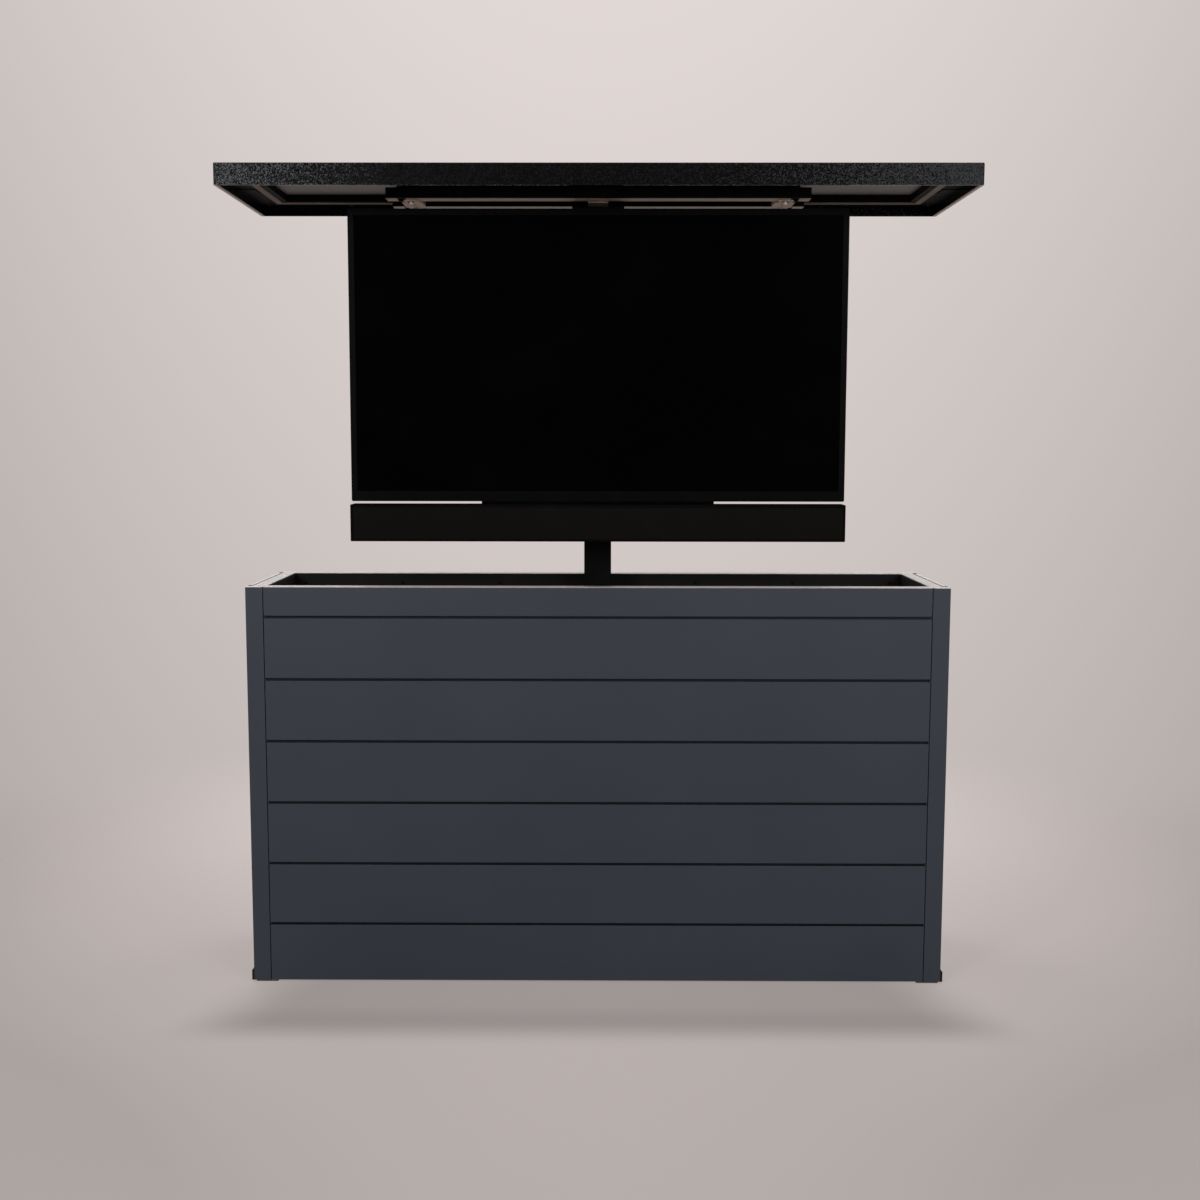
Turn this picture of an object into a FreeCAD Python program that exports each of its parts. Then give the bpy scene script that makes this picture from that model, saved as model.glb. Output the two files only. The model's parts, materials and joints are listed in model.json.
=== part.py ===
"""Television lift cabinet.

A clad cabinet holds a three-stage square column. The column raises a television, a soundbar
and the cabinet's lid. A screw lifts the middle stage, and a belt loop that is anchored to the
fixed foot draws the inner stage up by the same distance again.

Millimetres. X runs to the right, Y away from the front, Z up. The origin is on the floor
below the middle of the lid. The model is made with the lift fully raised.
"""

import FreeCAD
import Part
import math
import os

from FreeCAD import Vector

# ---------------------------------------------------------------- cabinet body
CABINET_WIDTH = 1720.0
CABINET_DEPTH = 450.0
CABINET_HEIGHT = 990.0
GROUND_CLEARANCE = 4.0

# corner posts, angle-shaped
POST_WIDTH = 42.0
POST_THICKNESS = 13.0
POST_EDGE_RADIUS = 1.5
POST_SCREW_SIDE = 11.0
POST_SCREW_HEAD = 1.2
POST_SCREW_INSET = 8.0

# lapped boards
PLANK_SETBACK = 1.0
PLANK_END_GAP = 2.0
PLANK_PITCH = 154.2
PLANK_GROOVE = 6.0
PLANK_CHAMFER = 1.0
TOP_PLANK_FACE = 71.0
LAP_HEIGHT = 8.0
LAP_THICKNESS = 3.0
LAP_CLEARANCE = 0.4
RIM_GROOVE_WIDTH = 2.0
RIM_GROOVE_DEPTH = 8.0

# frame of square tube
FRAME_TUBE = 32.0
FRAME_WALL = 2.5
STUD_WIDTH = 20.0
STUDS_PER_FACE = 3

# panels of the well
LINER_THICKNESS = 3.0
LINER_TOP_DROP = 1.0
FLOOR_THICKNESS = 12.0
FLOOR_EDGE_GAP = 0.5
CABLE_ENTRY_RADIUS = 30.0
CABLE_ENTRY_X = -260.0
CABLE_ENTRY_Y = 110.0
GROMMET_BORE_RADIUS = 24.0
GROMMET_FLANGE = 7.0
GROMMET_FLANGE_THICKNESS = 3.0
GROMMET_CLEARANCE = 0.3
ANCHOR_HOLE_RADIUS = 5.5
ANCHOR_SPACING_X = 1200.0
ANCHOR_SPACING_Y = 300.0

# feet and base trims
FOOT_SIDE = 54.0
FOOT_INSET = 33.0
BASE_TRIM_HEIGHT = 27.0
BASE_TRIM_THICKNESS = 5.0
BASE_TRIM_RADIUS = 3.0

# ---------------------------------------------------------------- column
OUTER_TUBE_TOP_DROP = 298.0
STAGE_OVERLAP = 154.0
INNER_TUBE_SIDE = 60.0
TUBE_WALL = 3.0
TUBE_CORNER_RADIUS = 5.0
GUIDE_GAP = 2.0
GUIDE_CLEARANCE = 0.1
GUIDE_PAD_WIDTH = 40.0
GUIDE_PAD_HEIGHT = 50.0
COLUMN_CLEARANCE = 6.0
MIDDLE_FOOT_GAP = 20.0
INNER_FOOT_GAP = 24.0

BASE_PLATE_WIDTH = 320.0
BASE_PLATE_DEPTH = 176.0
BASE_PLATE_THICKNESS = 8.0
BASE_PLATE_RADIUS = 12.0
BASE_GUSSET_THICKNESS = 6.0
BASE_GUSSET_REACH = 38.0
BASE_GUSSET_HEIGHT = 90.0
BASE_GUSSET_TOE = 8.0
BASE_GUSSET_SPACING = 56.0
COLUMN_BOLT_HEAD = 16.0
COLUMN_BOLT_INSET = 20.0
COLUMN_BOLT_HEAD_HEIGHT = 6.4

# drive at the foot
GEARBOX_WIDTH = 74.0
GEARBOX_DEPTH = 64.0
GEARBOX_HEIGHT = 54.0
GEARBOX_RADIUS = 6.0
MOTOR_RADIUS = 29.0
MOTOR_HEIGHT = 150.0
MOTOR_CAP_HEIGHT = 10.0
MOTOR_CAP_TAPER = 5.0
DRIVE_SHAFT_RADIUS = 6.0
DRIVE_SHAFT_LENGTH = 20.0
DRIVE_SHAFT_CLEARANCE = 0.5
BEVEL_BOX_HEIGHT = 18.0

SPINDLE_RADIUS = 8.0
SPINDLE_OFFSET = -14.0
SPINDLE_TOP_MARGIN = 10.0
SPINDLE_SEAT = 4.0
SPINDLE_RUNNING_CLEARANCE = 0.05
NUT_HEIGHT = 18.0

# belt drive of the inner stage
PULLEY_RADIUS = 10.7
PULLEY_WIDTH = 9.4
PULLEY_PIN_RADIUS = 4.0
PULLEY_PIN_CLEARANCE = 0.05
PULLEY_SIDE_GAP = 0.4
BELT_WIDTH = 10.0
BELT_THICKNESS = 2.0
BELT_PULLEY_GAP = 0.3
BELT_OFFSET = 8.0
BELT_MAST_WIDTH = 16.0
BELT_MAST_THICKNESS = 6.0
BELT_MAST_GAP = 3.0
PIN_HEAD = 12.0
PIN_HEAD_THICKNESS = 1.2
LOWER_PULLEY_RISE = 15.0
UPPER_PULLEY_DROP = 22.0
CLAMP_HEIGHT = 20.0
CLAMP_LIP = 2.6
CLAMP_FRONT = 1.0
CLAMP_BACK = 1.6
CLAMP_CLEARANCE = 0.4
ANCHOR_POST_THICKNESS = 6.0
ANCHOR_POST_X = -24.0
ANCHOR_POST_CLEARANCE = 1.0
ANCHOR_CLAMP_DROP = 59.0
INNER_CLAMP_RISE = 28.0

# ---------------------------------------------------------------- lid
LID_LENGTH = 1804.0
LID_DEPTH = 536.0
LID_HEIGHT = 51.5
LID_TOP_THICKNESS = 6.0
LID_SKIRT_THICKNESS = 5.0
LID_CORNER_RADIUS = 3.0
LID_EDGE_CHAMFER = 1.5
LID_SKIRT_OVERLAP = 22.5
LID_PANEL_THICKNESS = 2.0
LID_END_PLATE_LENGTH = 76.0
LID_END_PLATE_WIDTH = 44.0
LID_END_PLATE_THICKNESS = 2.0
LID_END_PLATE_RADIUS = 10.0
GASKET_WIDTH = 17.0
GASKET_HEIGHT = 3.0
GASKET_CLOSED_GAP = 0.5
GASKET_END_SHIFT = 6.0

LID_RAIL_LENGTH = 1044.0
LID_RAIL_WIDTH = 54.0
LID_RAIL_HEIGHT = 26.0
LID_RAIL_WALL = 3.0
LID_STRAP_THICKNESS = 3.0
LID_STRAP_NOTCH = 22.0
LID_STRAP_END = 27.0
STANDOFF_LENGTH = 992.0
STANDOFF_HEIGHT = 22.0
STANDOFF_WIDTH = 30.0
STANDOFF_WALL = 2.5
CROSS_BRACKET_X = 463.0
CROSS_BRACKET_WIDTH = 50.0
CROSS_BRACKET_WALL = 3.0
CROSS_BRACKET_HOLE_RADIUS = 4.5
CROSS_BRACKET_LAP = 28.0
CROSS_BRACKET_TONGUE = 36.0
CENTRE_BRACKET_WIDTH = 50.0
CENTRE_BRACKET_LENGTH = 72.0

# ---------------------------------------------------------------- mount
MAST_WIDTH = 132.0
MAST_THICKNESS = 16.0
MAST_WALL = 4.0
HEAD_PLATE_THICKNESS = 8.0
HEAD_PLATE_REACH = 6.0
HEAD_PLUG_DEPTH = 20.0
HEAD_PLUG_CLEARANCE = 0.2
GUSSET_THICKNESS = 6.0
GUSSET_HEIGHT = 110.0
GUSSET_TOE = 8.0
GUSSET_SPACING = 76.0

MOUNT_PLATE_WIDTH = 596.0
MOUNT_PLATE_THICKNESS = 3.0
MOUNT_PLATE_FLANGE = 21.0
MOUNT_PLATE_TOP_DROP = 60.0
MOUNT_PLATE_FOOT_RISE = 18.0
MOUNT_WINDOW_X = 175.0
MOUNT_WINDOW_WIDTH = 170.0
MOUNT_WINDOW_RADIUS = 20.0
MOUNT_WINDOW_UPPER_HEIGHT = 300.0
MOUNT_WINDOW_LOWER_HEIGHT = 120.0
MOUNT_WINDOW_LOWER_RISE = 86.0
MOUNT_RAIL_LENGTH = 560.0
MOUNT_RAIL_SPACING = 400.0
MOUNT_RAIL_HEIGHT = 34.0
MOUNT_RAIL_DEPTH = 14.0
MOUNT_RAIL_WALL = 2.5
VESA_WIDTH = 400.0
VESA_HEIGHT = 300.0
MOUNT_ARM_WIDTH = 40.0
MOUNT_ARM_DEPTH = 25.0
MOUNT_ARM_WALL = 2.5
MOUNT_ARM_LENGTH = 480.0
MOUNT_BOLT_HEAD = 13.0
MOUNT_BOLT_HEAD_HEIGHT = 5.0
MAST_BOLT_SPACING_X = 90.0
MAST_BOLT_SPACING_Z = 34.0
MAST_BOLT_DROP = 24.0

# ---------------------------------------------------------------- television
TV_WIDTH = 1240.0
TV_HEIGHT = 721.0
TV_DEPTH = 60.0
TV_FRONT_Y = -68.0
TV_TOP_GAP = 21.5
TV_BEZEL_SIDE = 15.0
TV_BEZEL_TOP = 16.0
TV_BEZEL_FOOT = 26.0
TV_BEZEL_DEPTH = 16.0
TV_BEZEL_LIP = 4.0
TV_BEZEL_RIM = 5.0
TV_CORNER_RADIUS = 4.0
TV_GLASS_LAP = 8.0
TV_GLASS_THICKNESS = 5.0
TV_SHELL_WALL = 3.0
TV_EDGE_DEPTH = 14.0
TV_BUMP_WIDTH = 1060.0
TV_BUMP_HEIGHT = 560.0
TV_BUMP_RISE = 36.0
TV_BUMP_TAPER = 22.0
TV_BUMP_RADIUS = 24.0
TV_VENT_WIDTH = 6.0
TV_VENT_HEIGHT = 34.0
TV_VENT_DEPTH = 1.5
TV_VENT_PITCH = 18.0
TV_VENTS_PER_GROUP = 8
TV_VENT_GROUP_X = 330.0
TV_VENT_DROP = 14.0
TV_PORT_X = 390.0
TV_PORT_WIDTH = 180.0
TV_PORT_HEIGHT = 60.0
TV_PORT_DEPTH = 14.0
TV_PORT_RISE = 20.0

# ---------------------------------------------------------------- soundbar
SOUNDBAR_WIDTH = 1240.0
SOUNDBAR_HEIGHT = 92.5
SOUNDBAR_DEPTH = 70.0
SOUNDBAR_FRONT_Y = -100.0
SOUNDBAR_GAP = 7.0
SOUNDBAR_WALL = 3.0
SOUNDBAR_RADIUS = 2.5
GRILLE_THICKNESS = 4.0
GRILLE_MARGIN = 2.0
SOUNDBAR_PORT_WIDTH = 120.0
SOUNDBAR_PORT_HEIGHT = 40.0
SOUNDBAR_PORT_DEPTH = 16.0
SOUNDBAR_ARM_SPACING = 380.0
SOUNDBAR_ARM_WIDTH = 36.0
SOUNDBAR_ARM_HEIGHT = 52.0
SOUNDBAR_ARM_WALL = 3.0

# control box on the rear liner
CONTROL_WIDTH = 200.0
CONTROL_HEIGHT = 130.0
CONTROL_DEPTH = 44.0
CONTROL_X = -430.0
CONTROL_RISE = 160.0
CONTROL_RADIUS = 8.0
CONTROL_GLAND = 18.0
CONTROL_GLAND_LENGTH = 16.0
CONTROL_GLANDS = 3
CONTROL_GLAND_PITCH = 50.0

# ---------------------------------------------------------------- modelling
POINT_TOLERANCE = 0.001

# ---------------------------------------------------------------- heights and depths that follow
half_width = CABINET_WIDTH / 2
half_depth = CABINET_DEPTH / 2
body_foot_z = GROUND_CLEARANCE
rim_z = GROUND_CLEARANCE + CABINET_HEIGHT

frame_half_width = half_width - POST_THICKNESS
frame_half_depth = half_depth - POST_THICKNESS
well_half_width = frame_half_width - FRAME_TUBE
well_half_depth = frame_half_depth - FRAME_TUBE
bottom_rail_top_z = body_foot_z + FRAME_TUBE
top_rail_foot_z = rim_z - FRAME_TUBE
floor_top_z = bottom_rail_top_z + FLOOR_THICKNESS

middle_tube_side = INNER_TUBE_SIDE + 2 * (TUBE_WALL + GUIDE_GAP)
outer_tube_side = middle_tube_side + 2 * (TUBE_WALL + GUIDE_GAP)
column_foot_z = floor_top_z + BASE_PLATE_THICKNESS
outer_top_z = rim_z - OUTER_TUBE_TOP_DROP
tube_length = outer_top_z - column_foot_z
stage_travel = tube_length - STAGE_OVERLAP
middle_foot_z = column_foot_z + MIDDLE_FOOT_GAP + stage_travel
middle_top_z = middle_foot_z + tube_length
inner_foot_z = column_foot_z + MIDDLE_FOOT_GAP + INNER_FOOT_GAP + 2 * stage_travel
inner_top_z = inner_foot_z + tube_length

gasket_foot_z = rim_z + 2 * stage_travel + GASKET_CLOSED_GAP
lid_foot_z = gasket_foot_z - LID_SKIRT_OVERLAP
lid_top_z = lid_foot_z + LID_HEIGHT
border_foot_z = gasket_foot_z + GASKET_HEIGHT
lid_ceiling_z = lid_top_z - LID_TOP_THICKNESS
lid_panel_foot_z = lid_ceiling_z - LID_PANEL_THICKNESS
rail_top_z = lid_panel_foot_z - STANDOFF_HEIGHT
rail_foot_z = rail_top_z - LID_RAIL_HEIGHT

tv_top_z = rail_foot_z - TV_TOP_GAP
tv_foot_z = tv_top_z - TV_HEIGHT
tv_middle_z = (tv_top_z + tv_foot_z) / 2
soundbar_top_z = tv_foot_z - SOUNDBAR_GAP
soundbar_foot_z = soundbar_top_z - SOUNDBAR_HEIGHT
mount_foot_z = soundbar_foot_z + MOUNT_PLATE_FOOT_RISE
mount_top_z = tv_top_z - MOUNT_PLATE_TOP_DROP

tv_back_y = TV_FRONT_Y + TV_DEPTH
arm_back_y = tv_back_y + MOUNT_ARM_DEPTH
mount_plate_front_y = arm_back_y + MOUNT_RAIL_DEPTH
mount_plate_back_y = mount_plate_front_y + MOUNT_PLATE_THICKNESS
mast_back_y = mount_plate_back_y + MAST_THICKNESS
column_y = mount_plate_back_y + COLUMN_CLEARANCE + outer_tube_side / 2
rear_rail_front_y = mast_back_y
front_rail_front_y = mount_plate_back_y - CENTRE_BRACKET_LENGTH - LID_RAIL_WIDTH


# ---------------------------------------------------------------- shape helpers
def block(x0, x1, y0, y1, z0, z1):
    """A box between two corners."""
    return Part.makeBox(x1 - x0, y1 - y0, z1 - z0, Vector(x0, y0, z0))


def rod(radius, start, length, direction=Vector(0, 0, 1)):
    """A round bar from start along direction."""
    return Part.makeCylinder(radius, length, start, direction)


def hex_bar(across_flats, start, length, direction=Vector(0, 0, 1)):
    """A hexagonal bar from start along direction, for bolt heads, nuts and glands."""
    radius = across_flats / math.sqrt(3)
    corners = [Vector(radius * math.cos(math.radians(angle)), radius * math.sin(math.radians(angle)), 0)
               for angle in range(0, 360, 60)]
    face = Part.Face(Part.makePolygon(corners + corners[:1]))
    face.Placement = FreeCAD.Placement(start, FreeCAD.Rotation(Vector(0, 0, 1), direction))
    return face.extrude(direction * length)


def rounded_outline(x0, x1, y0, y1, radius, z=0.0):
    """A closed rectangle with round corners in a plane of constant Z."""
    if radius <= 0:
        corners = [Vector(x0, y0, z), Vector(x1, y0, z), Vector(x1, y1, z), Vector(x0, y1, z)]
        return Part.makePolygon(corners + corners[:1])
    centres = [(x1 - radius, y0 + radius), (x1 - radius, y1 - radius),
               (x0 + radius, y1 - radius), (x0 + radius, y0 + radius)]
    arcs = []
    for quarter, (centre_x, centre_y) in enumerate(centres):
        circle = Part.Circle(Vector(centre_x, centre_y, z), Vector(0, 0, 1), radius)
        start_angle = (quarter - 1) * math.pi / 2
        arcs.append(Part.Arc(circle, start_angle, start_angle + math.pi / 2))
    edges = []
    for arc, following in zip(arcs, arcs[1:] + arcs[:1]):
        edges.append(arc.toShape())
        if (following.StartPoint - arc.EndPoint).Length > POINT_TOLERANCE:
            edges.append(Part.makeLine(arc.EndPoint, following.StartPoint))
    return Part.Wire(edges)


def rounded_bar(x0, x1, y0, y1, z0, z1, radius):
    """A bar whose upright edges are round."""
    outline = rounded_outline(x0, x1, y0, y1, radius, z0)
    return Part.Face(outline).extrude(Vector(0, 0, z1 - z0))


def turned_to_face_y(shape, y):
    """Carries a shape drawn on XY with Z as its height to XZ, standing out from y along +Y."""
    shape = shape.copy()
    shape.rotate(Vector(0, 0, 0), Vector(1, 0, 0), 90)
    shape = shape.mirror(Vector(0, 0, 0), Vector(0, 1, 0))
    shape.translate(Vector(0, y, 0))
    return shape


def rounded_slab(x0, x1, z0, z1, y0, y1, radius):
    """A slab that faces the front, with round corners in its XZ outline."""
    return turned_to_face_y(rounded_bar(x0, x1, z0, z1, 0, y1 - y0, radius), y0)


def square_tube(side, wall, radius, centre_x, centre_y, z0, z1):
    """An upright square tube, round at its outer corners."""
    half = side / 2
    bore = half - wall
    outer = rounded_bar(centre_x - half, centre_x + half, centre_y - half, centre_y + half, z0, z1, radius)
    return outer.cut(block(centre_x - bore, centre_x + bore, centre_y - bore, centre_y + bore, z0, z1))


def lying_tube(length, along_x, centre_x, centre_y, foot_z):
    """A frame tube that lies along X or along Y, its underside at foot_z."""
    tube = square_tube(FRAME_TUBE, FRAME_WALL, 0, 0, 0, -length / 2, length / 2)
    axis = Vector(0, 1, 0) if along_x else Vector(1, 0, 0)
    tube.rotate(Vector(0, 0, 0), axis, 90)
    tube.translate(Vector(centre_x, centre_y, foot_z + FRAME_TUBE / 2))
    return tube


def upright_profile(points, height, foot_z):
    """An upright bar of any XY outline."""
    corners = [Vector(x, y, foot_z) for x, y in points]
    outline = Part.makePolygon(corners + corners[:1])
    return Part.Face(outline).extrude(Vector(0, 0, height))


def side_profile(points, x0, x1):
    """A bar along X of any YZ outline."""
    corners = [Vector(x0, y, z) for y, z in points]
    outline = Part.makePolygon(corners + corners[:1])
    return Part.Face(outline).extrude(Vector(x1 - x0, 0, 0))


def channel_up(x0, x1, y0, y1, z0, z1, wall):
    """A channel along Y that is open at its top."""
    return block(x0, x1, y0, y1, z0, z1).cut(block(x0 + wall, x1 - wall, y0, y1, z0 + wall, z1))


def with_pocket(shell, x0, x1, z0, z1, back_y, depth, wall):
    """A hollow shell with a rectangular pocket, walled all round, sunk into its back."""
    walls = block(x0 - wall, x1 + wall, back_y - depth - wall, back_y, z0 - wall, z1 + wall)
    return shell.fuse(walls).cut(block(x0, x1, back_y - depth, back_y, z0, z1)).removeSplitter()


def edges_at(shape, **place):
    """The edges of a shape whose middle has the given coordinates."""
    return [edge for edge in shape.Edges
            if all(abs(getattr(edge.CenterOfMass, axis) - value) < POINT_TOLERANCE
                   for axis, value in place.items())]


def corners_of(half_x, half_y):
    """The four corner points of a rectangle about the origin."""
    return [(sign_x * half_x, sign_y * half_y) for sign_x in (-1, 1) for sign_y in (-1, 1)]


def spread(count, spacing):
    """Places of a row of count items about zero."""
    return [(index - (count - 1) / 2) * spacing for index in range(count)]


def save(node, *solids):
    """Writes one node, with each of its solids separate."""
    shape = solids[0] if len(solids) == 1 else Part.makeCompound(list(solids))
    shape.exportStep(os.path.join("parts", node + ".step"))


# ---------------------------------------------------------------- frame
def build_frame():
    """Frame of sharp-edged extruded tube: uprights, two rings and studs behind the long faces."""
    tube_x = frame_half_width - FRAME_TUBE / 2
    tube_y = frame_half_depth - FRAME_TUBE / 2
    uprights = [square_tube(FRAME_TUBE, FRAME_WALL, 0, x, y, floor_top_z, top_rail_foot_z)
                for x, y in corners_of(tube_x, tube_y)]
    save("frame_uprights", *uprights)
    for node, foot_z in (("frame_top_rails", top_rail_foot_z), ("frame_bottom_rails", body_foot_z)):
        long_rails = [lying_tube(2 * frame_half_width, True, 0, y, foot_z) for y in (-tube_y, tube_y)]
        end_rails = [lying_tube(2 * well_half_depth, False, x, 0, foot_z) for x in (-tube_x, tube_x)]
        save(node, *long_rails, *end_rails)
    stud_pitch = 2 * frame_half_width / (STUDS_PER_FACE + 1)
    studs = []
    for x in spread(STUDS_PER_FACE, stud_pitch):
        for y0 in (-frame_half_depth, well_half_depth):
            studs.append(block(x - STUD_WIDTH / 2, x + STUD_WIDTH / 2, y0, y0 + FRAME_TUBE,
                               floor_top_z, top_rail_foot_z))
    save("frame_studs", *studs)


def build_feet():
    """Low square pads under the corners of the bottom ring."""
    half = FOOT_SIDE / 2
    places = corners_of(half_width - FOOT_INSET, frame_half_depth - FRAME_TUBE / 2)
    save("feet", *[block(x - half, x + half, y - half, y + half, 0, GROUND_CLEARANCE) for x, y in places])


# ---------------------------------------------------------------- cladding
def corner_post(sign_x, sign_y):
    """An angle-shaped post with its outer corner at the cabinet's corner."""
    outer_x = sign_x * half_width
    outer_y = sign_y * half_depth
    leg_x = outer_x - sign_x * POST_WIDTH
    leg_y = outer_y - sign_y * POST_WIDTH
    inner_x = outer_x - sign_x * POST_THICKNESS
    inner_y = outer_y - sign_y * POST_THICKNESS
    points = [(outer_x, outer_y), (leg_x, outer_y), (leg_x, inner_y),
              (inner_x, inner_y), (inner_x, leg_y), (outer_x, leg_y)]
    post = upright_profile(points, CABINET_HEIGHT, body_foot_z)
    return post.makeFillet(POST_EDGE_RADIUS, edges_at(post, x=outer_x, y=outer_y))


def build_posts():
    """Four corner posts and the low dark screw heads on the ends of their side legs."""
    names = {(-1, -1): "front_left", (1, -1): "front_right", (-1, 1): "rear_left", (1, 1): "rear_right"}
    for (sign_x, sign_y), name in names.items():
        save("corner_post_" + name, corner_post(sign_x, sign_y))
    places = corners_of(half_width - POST_THICKNESS / 2, half_depth - POST_WIDTH + POST_SCREW_INSET)
    save("post_screws", *[hex_bar(POST_SCREW_SIDE, Vector(x, y, rim_z), POST_SCREW_HEAD) for x, y in places])


def plank_courses():
    """Foot and top height of each board's face, from the rim down."""
    courses = []
    top = rim_z
    foot = rim_z - TOP_PLANK_FACE
    while foot > body_foot_z + LAP_HEIGHT:
        courses.append((foot, top))
        top = foot - PLANK_GROOVE
        foot = top - (PLANK_PITCH - PLANK_GROOVE)
    courses.append((body_foot_z, top))
    return courses


def plank(foot, top, length, is_top, is_bottom):
    """A lapped board, its face on y = 0 and its back at its thickness, centred on X."""
    thickness = POST_THICKNESS - PLANK_SETBACK
    lap_y = thickness - LAP_THICKNESS
    rebate_y = lap_y - LAP_CLEARANCE
    points = [(PLANK_CHAMFER, foot), (0, foot + PLANK_CHAMFER),
              (0, top - PLANK_CHAMFER), (PLANK_CHAMFER, top)]
    if is_top:
        groove_y = thickness - RIM_GROOVE_WIDTH
        groove_z = top - RIM_GROOVE_DEPTH
        points += [(groove_y, top), (groove_y, groove_z), (thickness, groove_z)]
    else:
        lap_top = top + PLANK_GROOVE + LAP_HEIGHT
        points += [(lap_y, top), (lap_y, lap_top), (thickness, lap_top)]
    if is_bottom:
        points += [(thickness, foot)]
    else:
        rebate_top = foot + LAP_HEIGHT + LAP_CLEARANCE
        points += [(thickness, rebate_top), (rebate_y, rebate_top), (rebate_y, foot)]
    return side_profile(points, -length / 2, length / 2)


def clad_face(length, distance, turn):
    """All boards of one face, turned about Z and set out from the middle."""
    courses = plank_courses()
    boards = []
    for index, (foot, top) in enumerate(courses):
        board = plank(foot, top, length, index == 0, index == len(courses) - 1)
        board.translate(Vector(0, -distance + PLANK_SETBACK, 0))
        board.rotate(Vector(0, 0, 0), Vector(0, 0, 1), turn)
        boards.append(board)
    return boards


def build_cladding():
    """The boards of the four faces and the trims along the foot of both ends."""
    long_length = CABINET_WIDTH - 2 * POST_WIDTH - 2 * PLANK_END_GAP
    end_length = CABINET_DEPTH - 2 * POST_WIDTH - 2 * PLANK_END_GAP
    save("front_planks", *clad_face(long_length, half_depth, 0))
    save("rear_planks", *clad_face(long_length, half_depth, 180))
    save("left_planks", *clad_face(end_length, half_width, -90))
    save("right_planks", *clad_face(end_length, half_width, 90))
    trims = []
    top_z = body_foot_z + BASE_TRIM_HEIGHT
    for sign in (-1, 1):
        outer_x = sign * (half_width + BASE_TRIM_THICKNESS)
        x0, x1 = sorted((sign * half_width, outer_x))
        trim = block(x0, x1, -half_depth, half_depth, body_foot_z, top_z)
        trims.append(trim.makeFillet(BASE_TRIM_RADIUS, edges_at(trim, x=outer_x, z=top_z)))
    save("base_trims", *trims)


# ---------------------------------------------------------------- well
def build_liners():
    """Black panels of the well."""
    top_z = rim_z - LINER_TOP_DROP
    for node, y0 in (("liner_front", -well_half_depth), ("liner_rear", well_half_depth - LINER_THICKNESS)):
        save(node, block(-well_half_width, well_half_width, y0, y0 + LINER_THICKNESS, floor_top_z, top_z))
    end_half_depth = well_half_depth - LINER_THICKNESS
    ends = [block(x0, x0 + LINER_THICKNESS, -end_half_depth, end_half_depth, floor_top_z, top_z)
            for x0 in (-well_half_width, well_half_width - LINER_THICKNESS)]
    save("liner_ends", *ends)


def build_floor():
    """Floor with its cable entry, the square-flanged ring in it and the holes for ground anchors."""
    half_x = frame_half_width - FLOOR_EDGE_GAP
    half_y = frame_half_depth - FLOOR_EDGE_GAP
    floor = block(-half_x, half_x, -half_y, half_y, bottom_rail_top_z, floor_top_z)
    holes = [rod(ANCHOR_HOLE_RADIUS, Vector(x, y, bottom_rail_top_z), FLOOR_THICKNESS)
             for x, y in corners_of(ANCHOR_SPACING_X / 2, ANCHOR_SPACING_Y / 2)]
    centre = Vector(CABLE_ENTRY_X, CABLE_ENTRY_Y, bottom_rail_top_z)
    entry = rod(CABLE_ENTRY_RADIUS, centre, FLOOR_THICKNESS)
    save("floor_panel", floor.cut(Part.makeCompound(holes + [entry])))

    sleeve = rod(CABLE_ENTRY_RADIUS - GROMMET_CLEARANCE, centre, FLOOR_THICKNESS)
    flange_half = CABLE_ENTRY_RADIUS + GROMMET_FLANGE
    flange = block(CABLE_ENTRY_X - flange_half, CABLE_ENTRY_X + flange_half,
                   CABLE_ENTRY_Y - flange_half, CABLE_ENTRY_Y + flange_half,
                   floor_top_z, floor_top_z + GROMMET_FLANGE_THICKNESS)
    bore = rod(GROMMET_BORE_RADIUS, centre, FLOOR_THICKNESS + GROMMET_FLANGE_THICKNESS)
    save("cable_grommet", sleeve.fuse(flange).cut(bore).removeSplitter())


def build_control_box():
    """Lift control on the rear liner, with cable glands under it."""
    back_y = well_half_depth - LINER_THICKNESS
    foot_z = floor_top_z + CONTROL_RISE
    half = CONTROL_WIDTH / 2
    case = rounded_slab(CONTROL_X - half, CONTROL_X + half, foot_z, foot_z + CONTROL_HEIGHT,
                        back_y - CONTROL_DEPTH, back_y, CONTROL_RADIUS)
    for offset in spread(CONTROL_GLANDS, CONTROL_GLAND_PITCH):
        start = Vector(CONTROL_X + offset, back_y - CONTROL_DEPTH / 2, foot_z - CONTROL_GLAND_LENGTH)
        case = case.fuse(hex_bar(CONTROL_GLAND, start, CONTROL_GLAND_LENGTH))
    save("control_box", case.removeSplitter())


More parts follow.
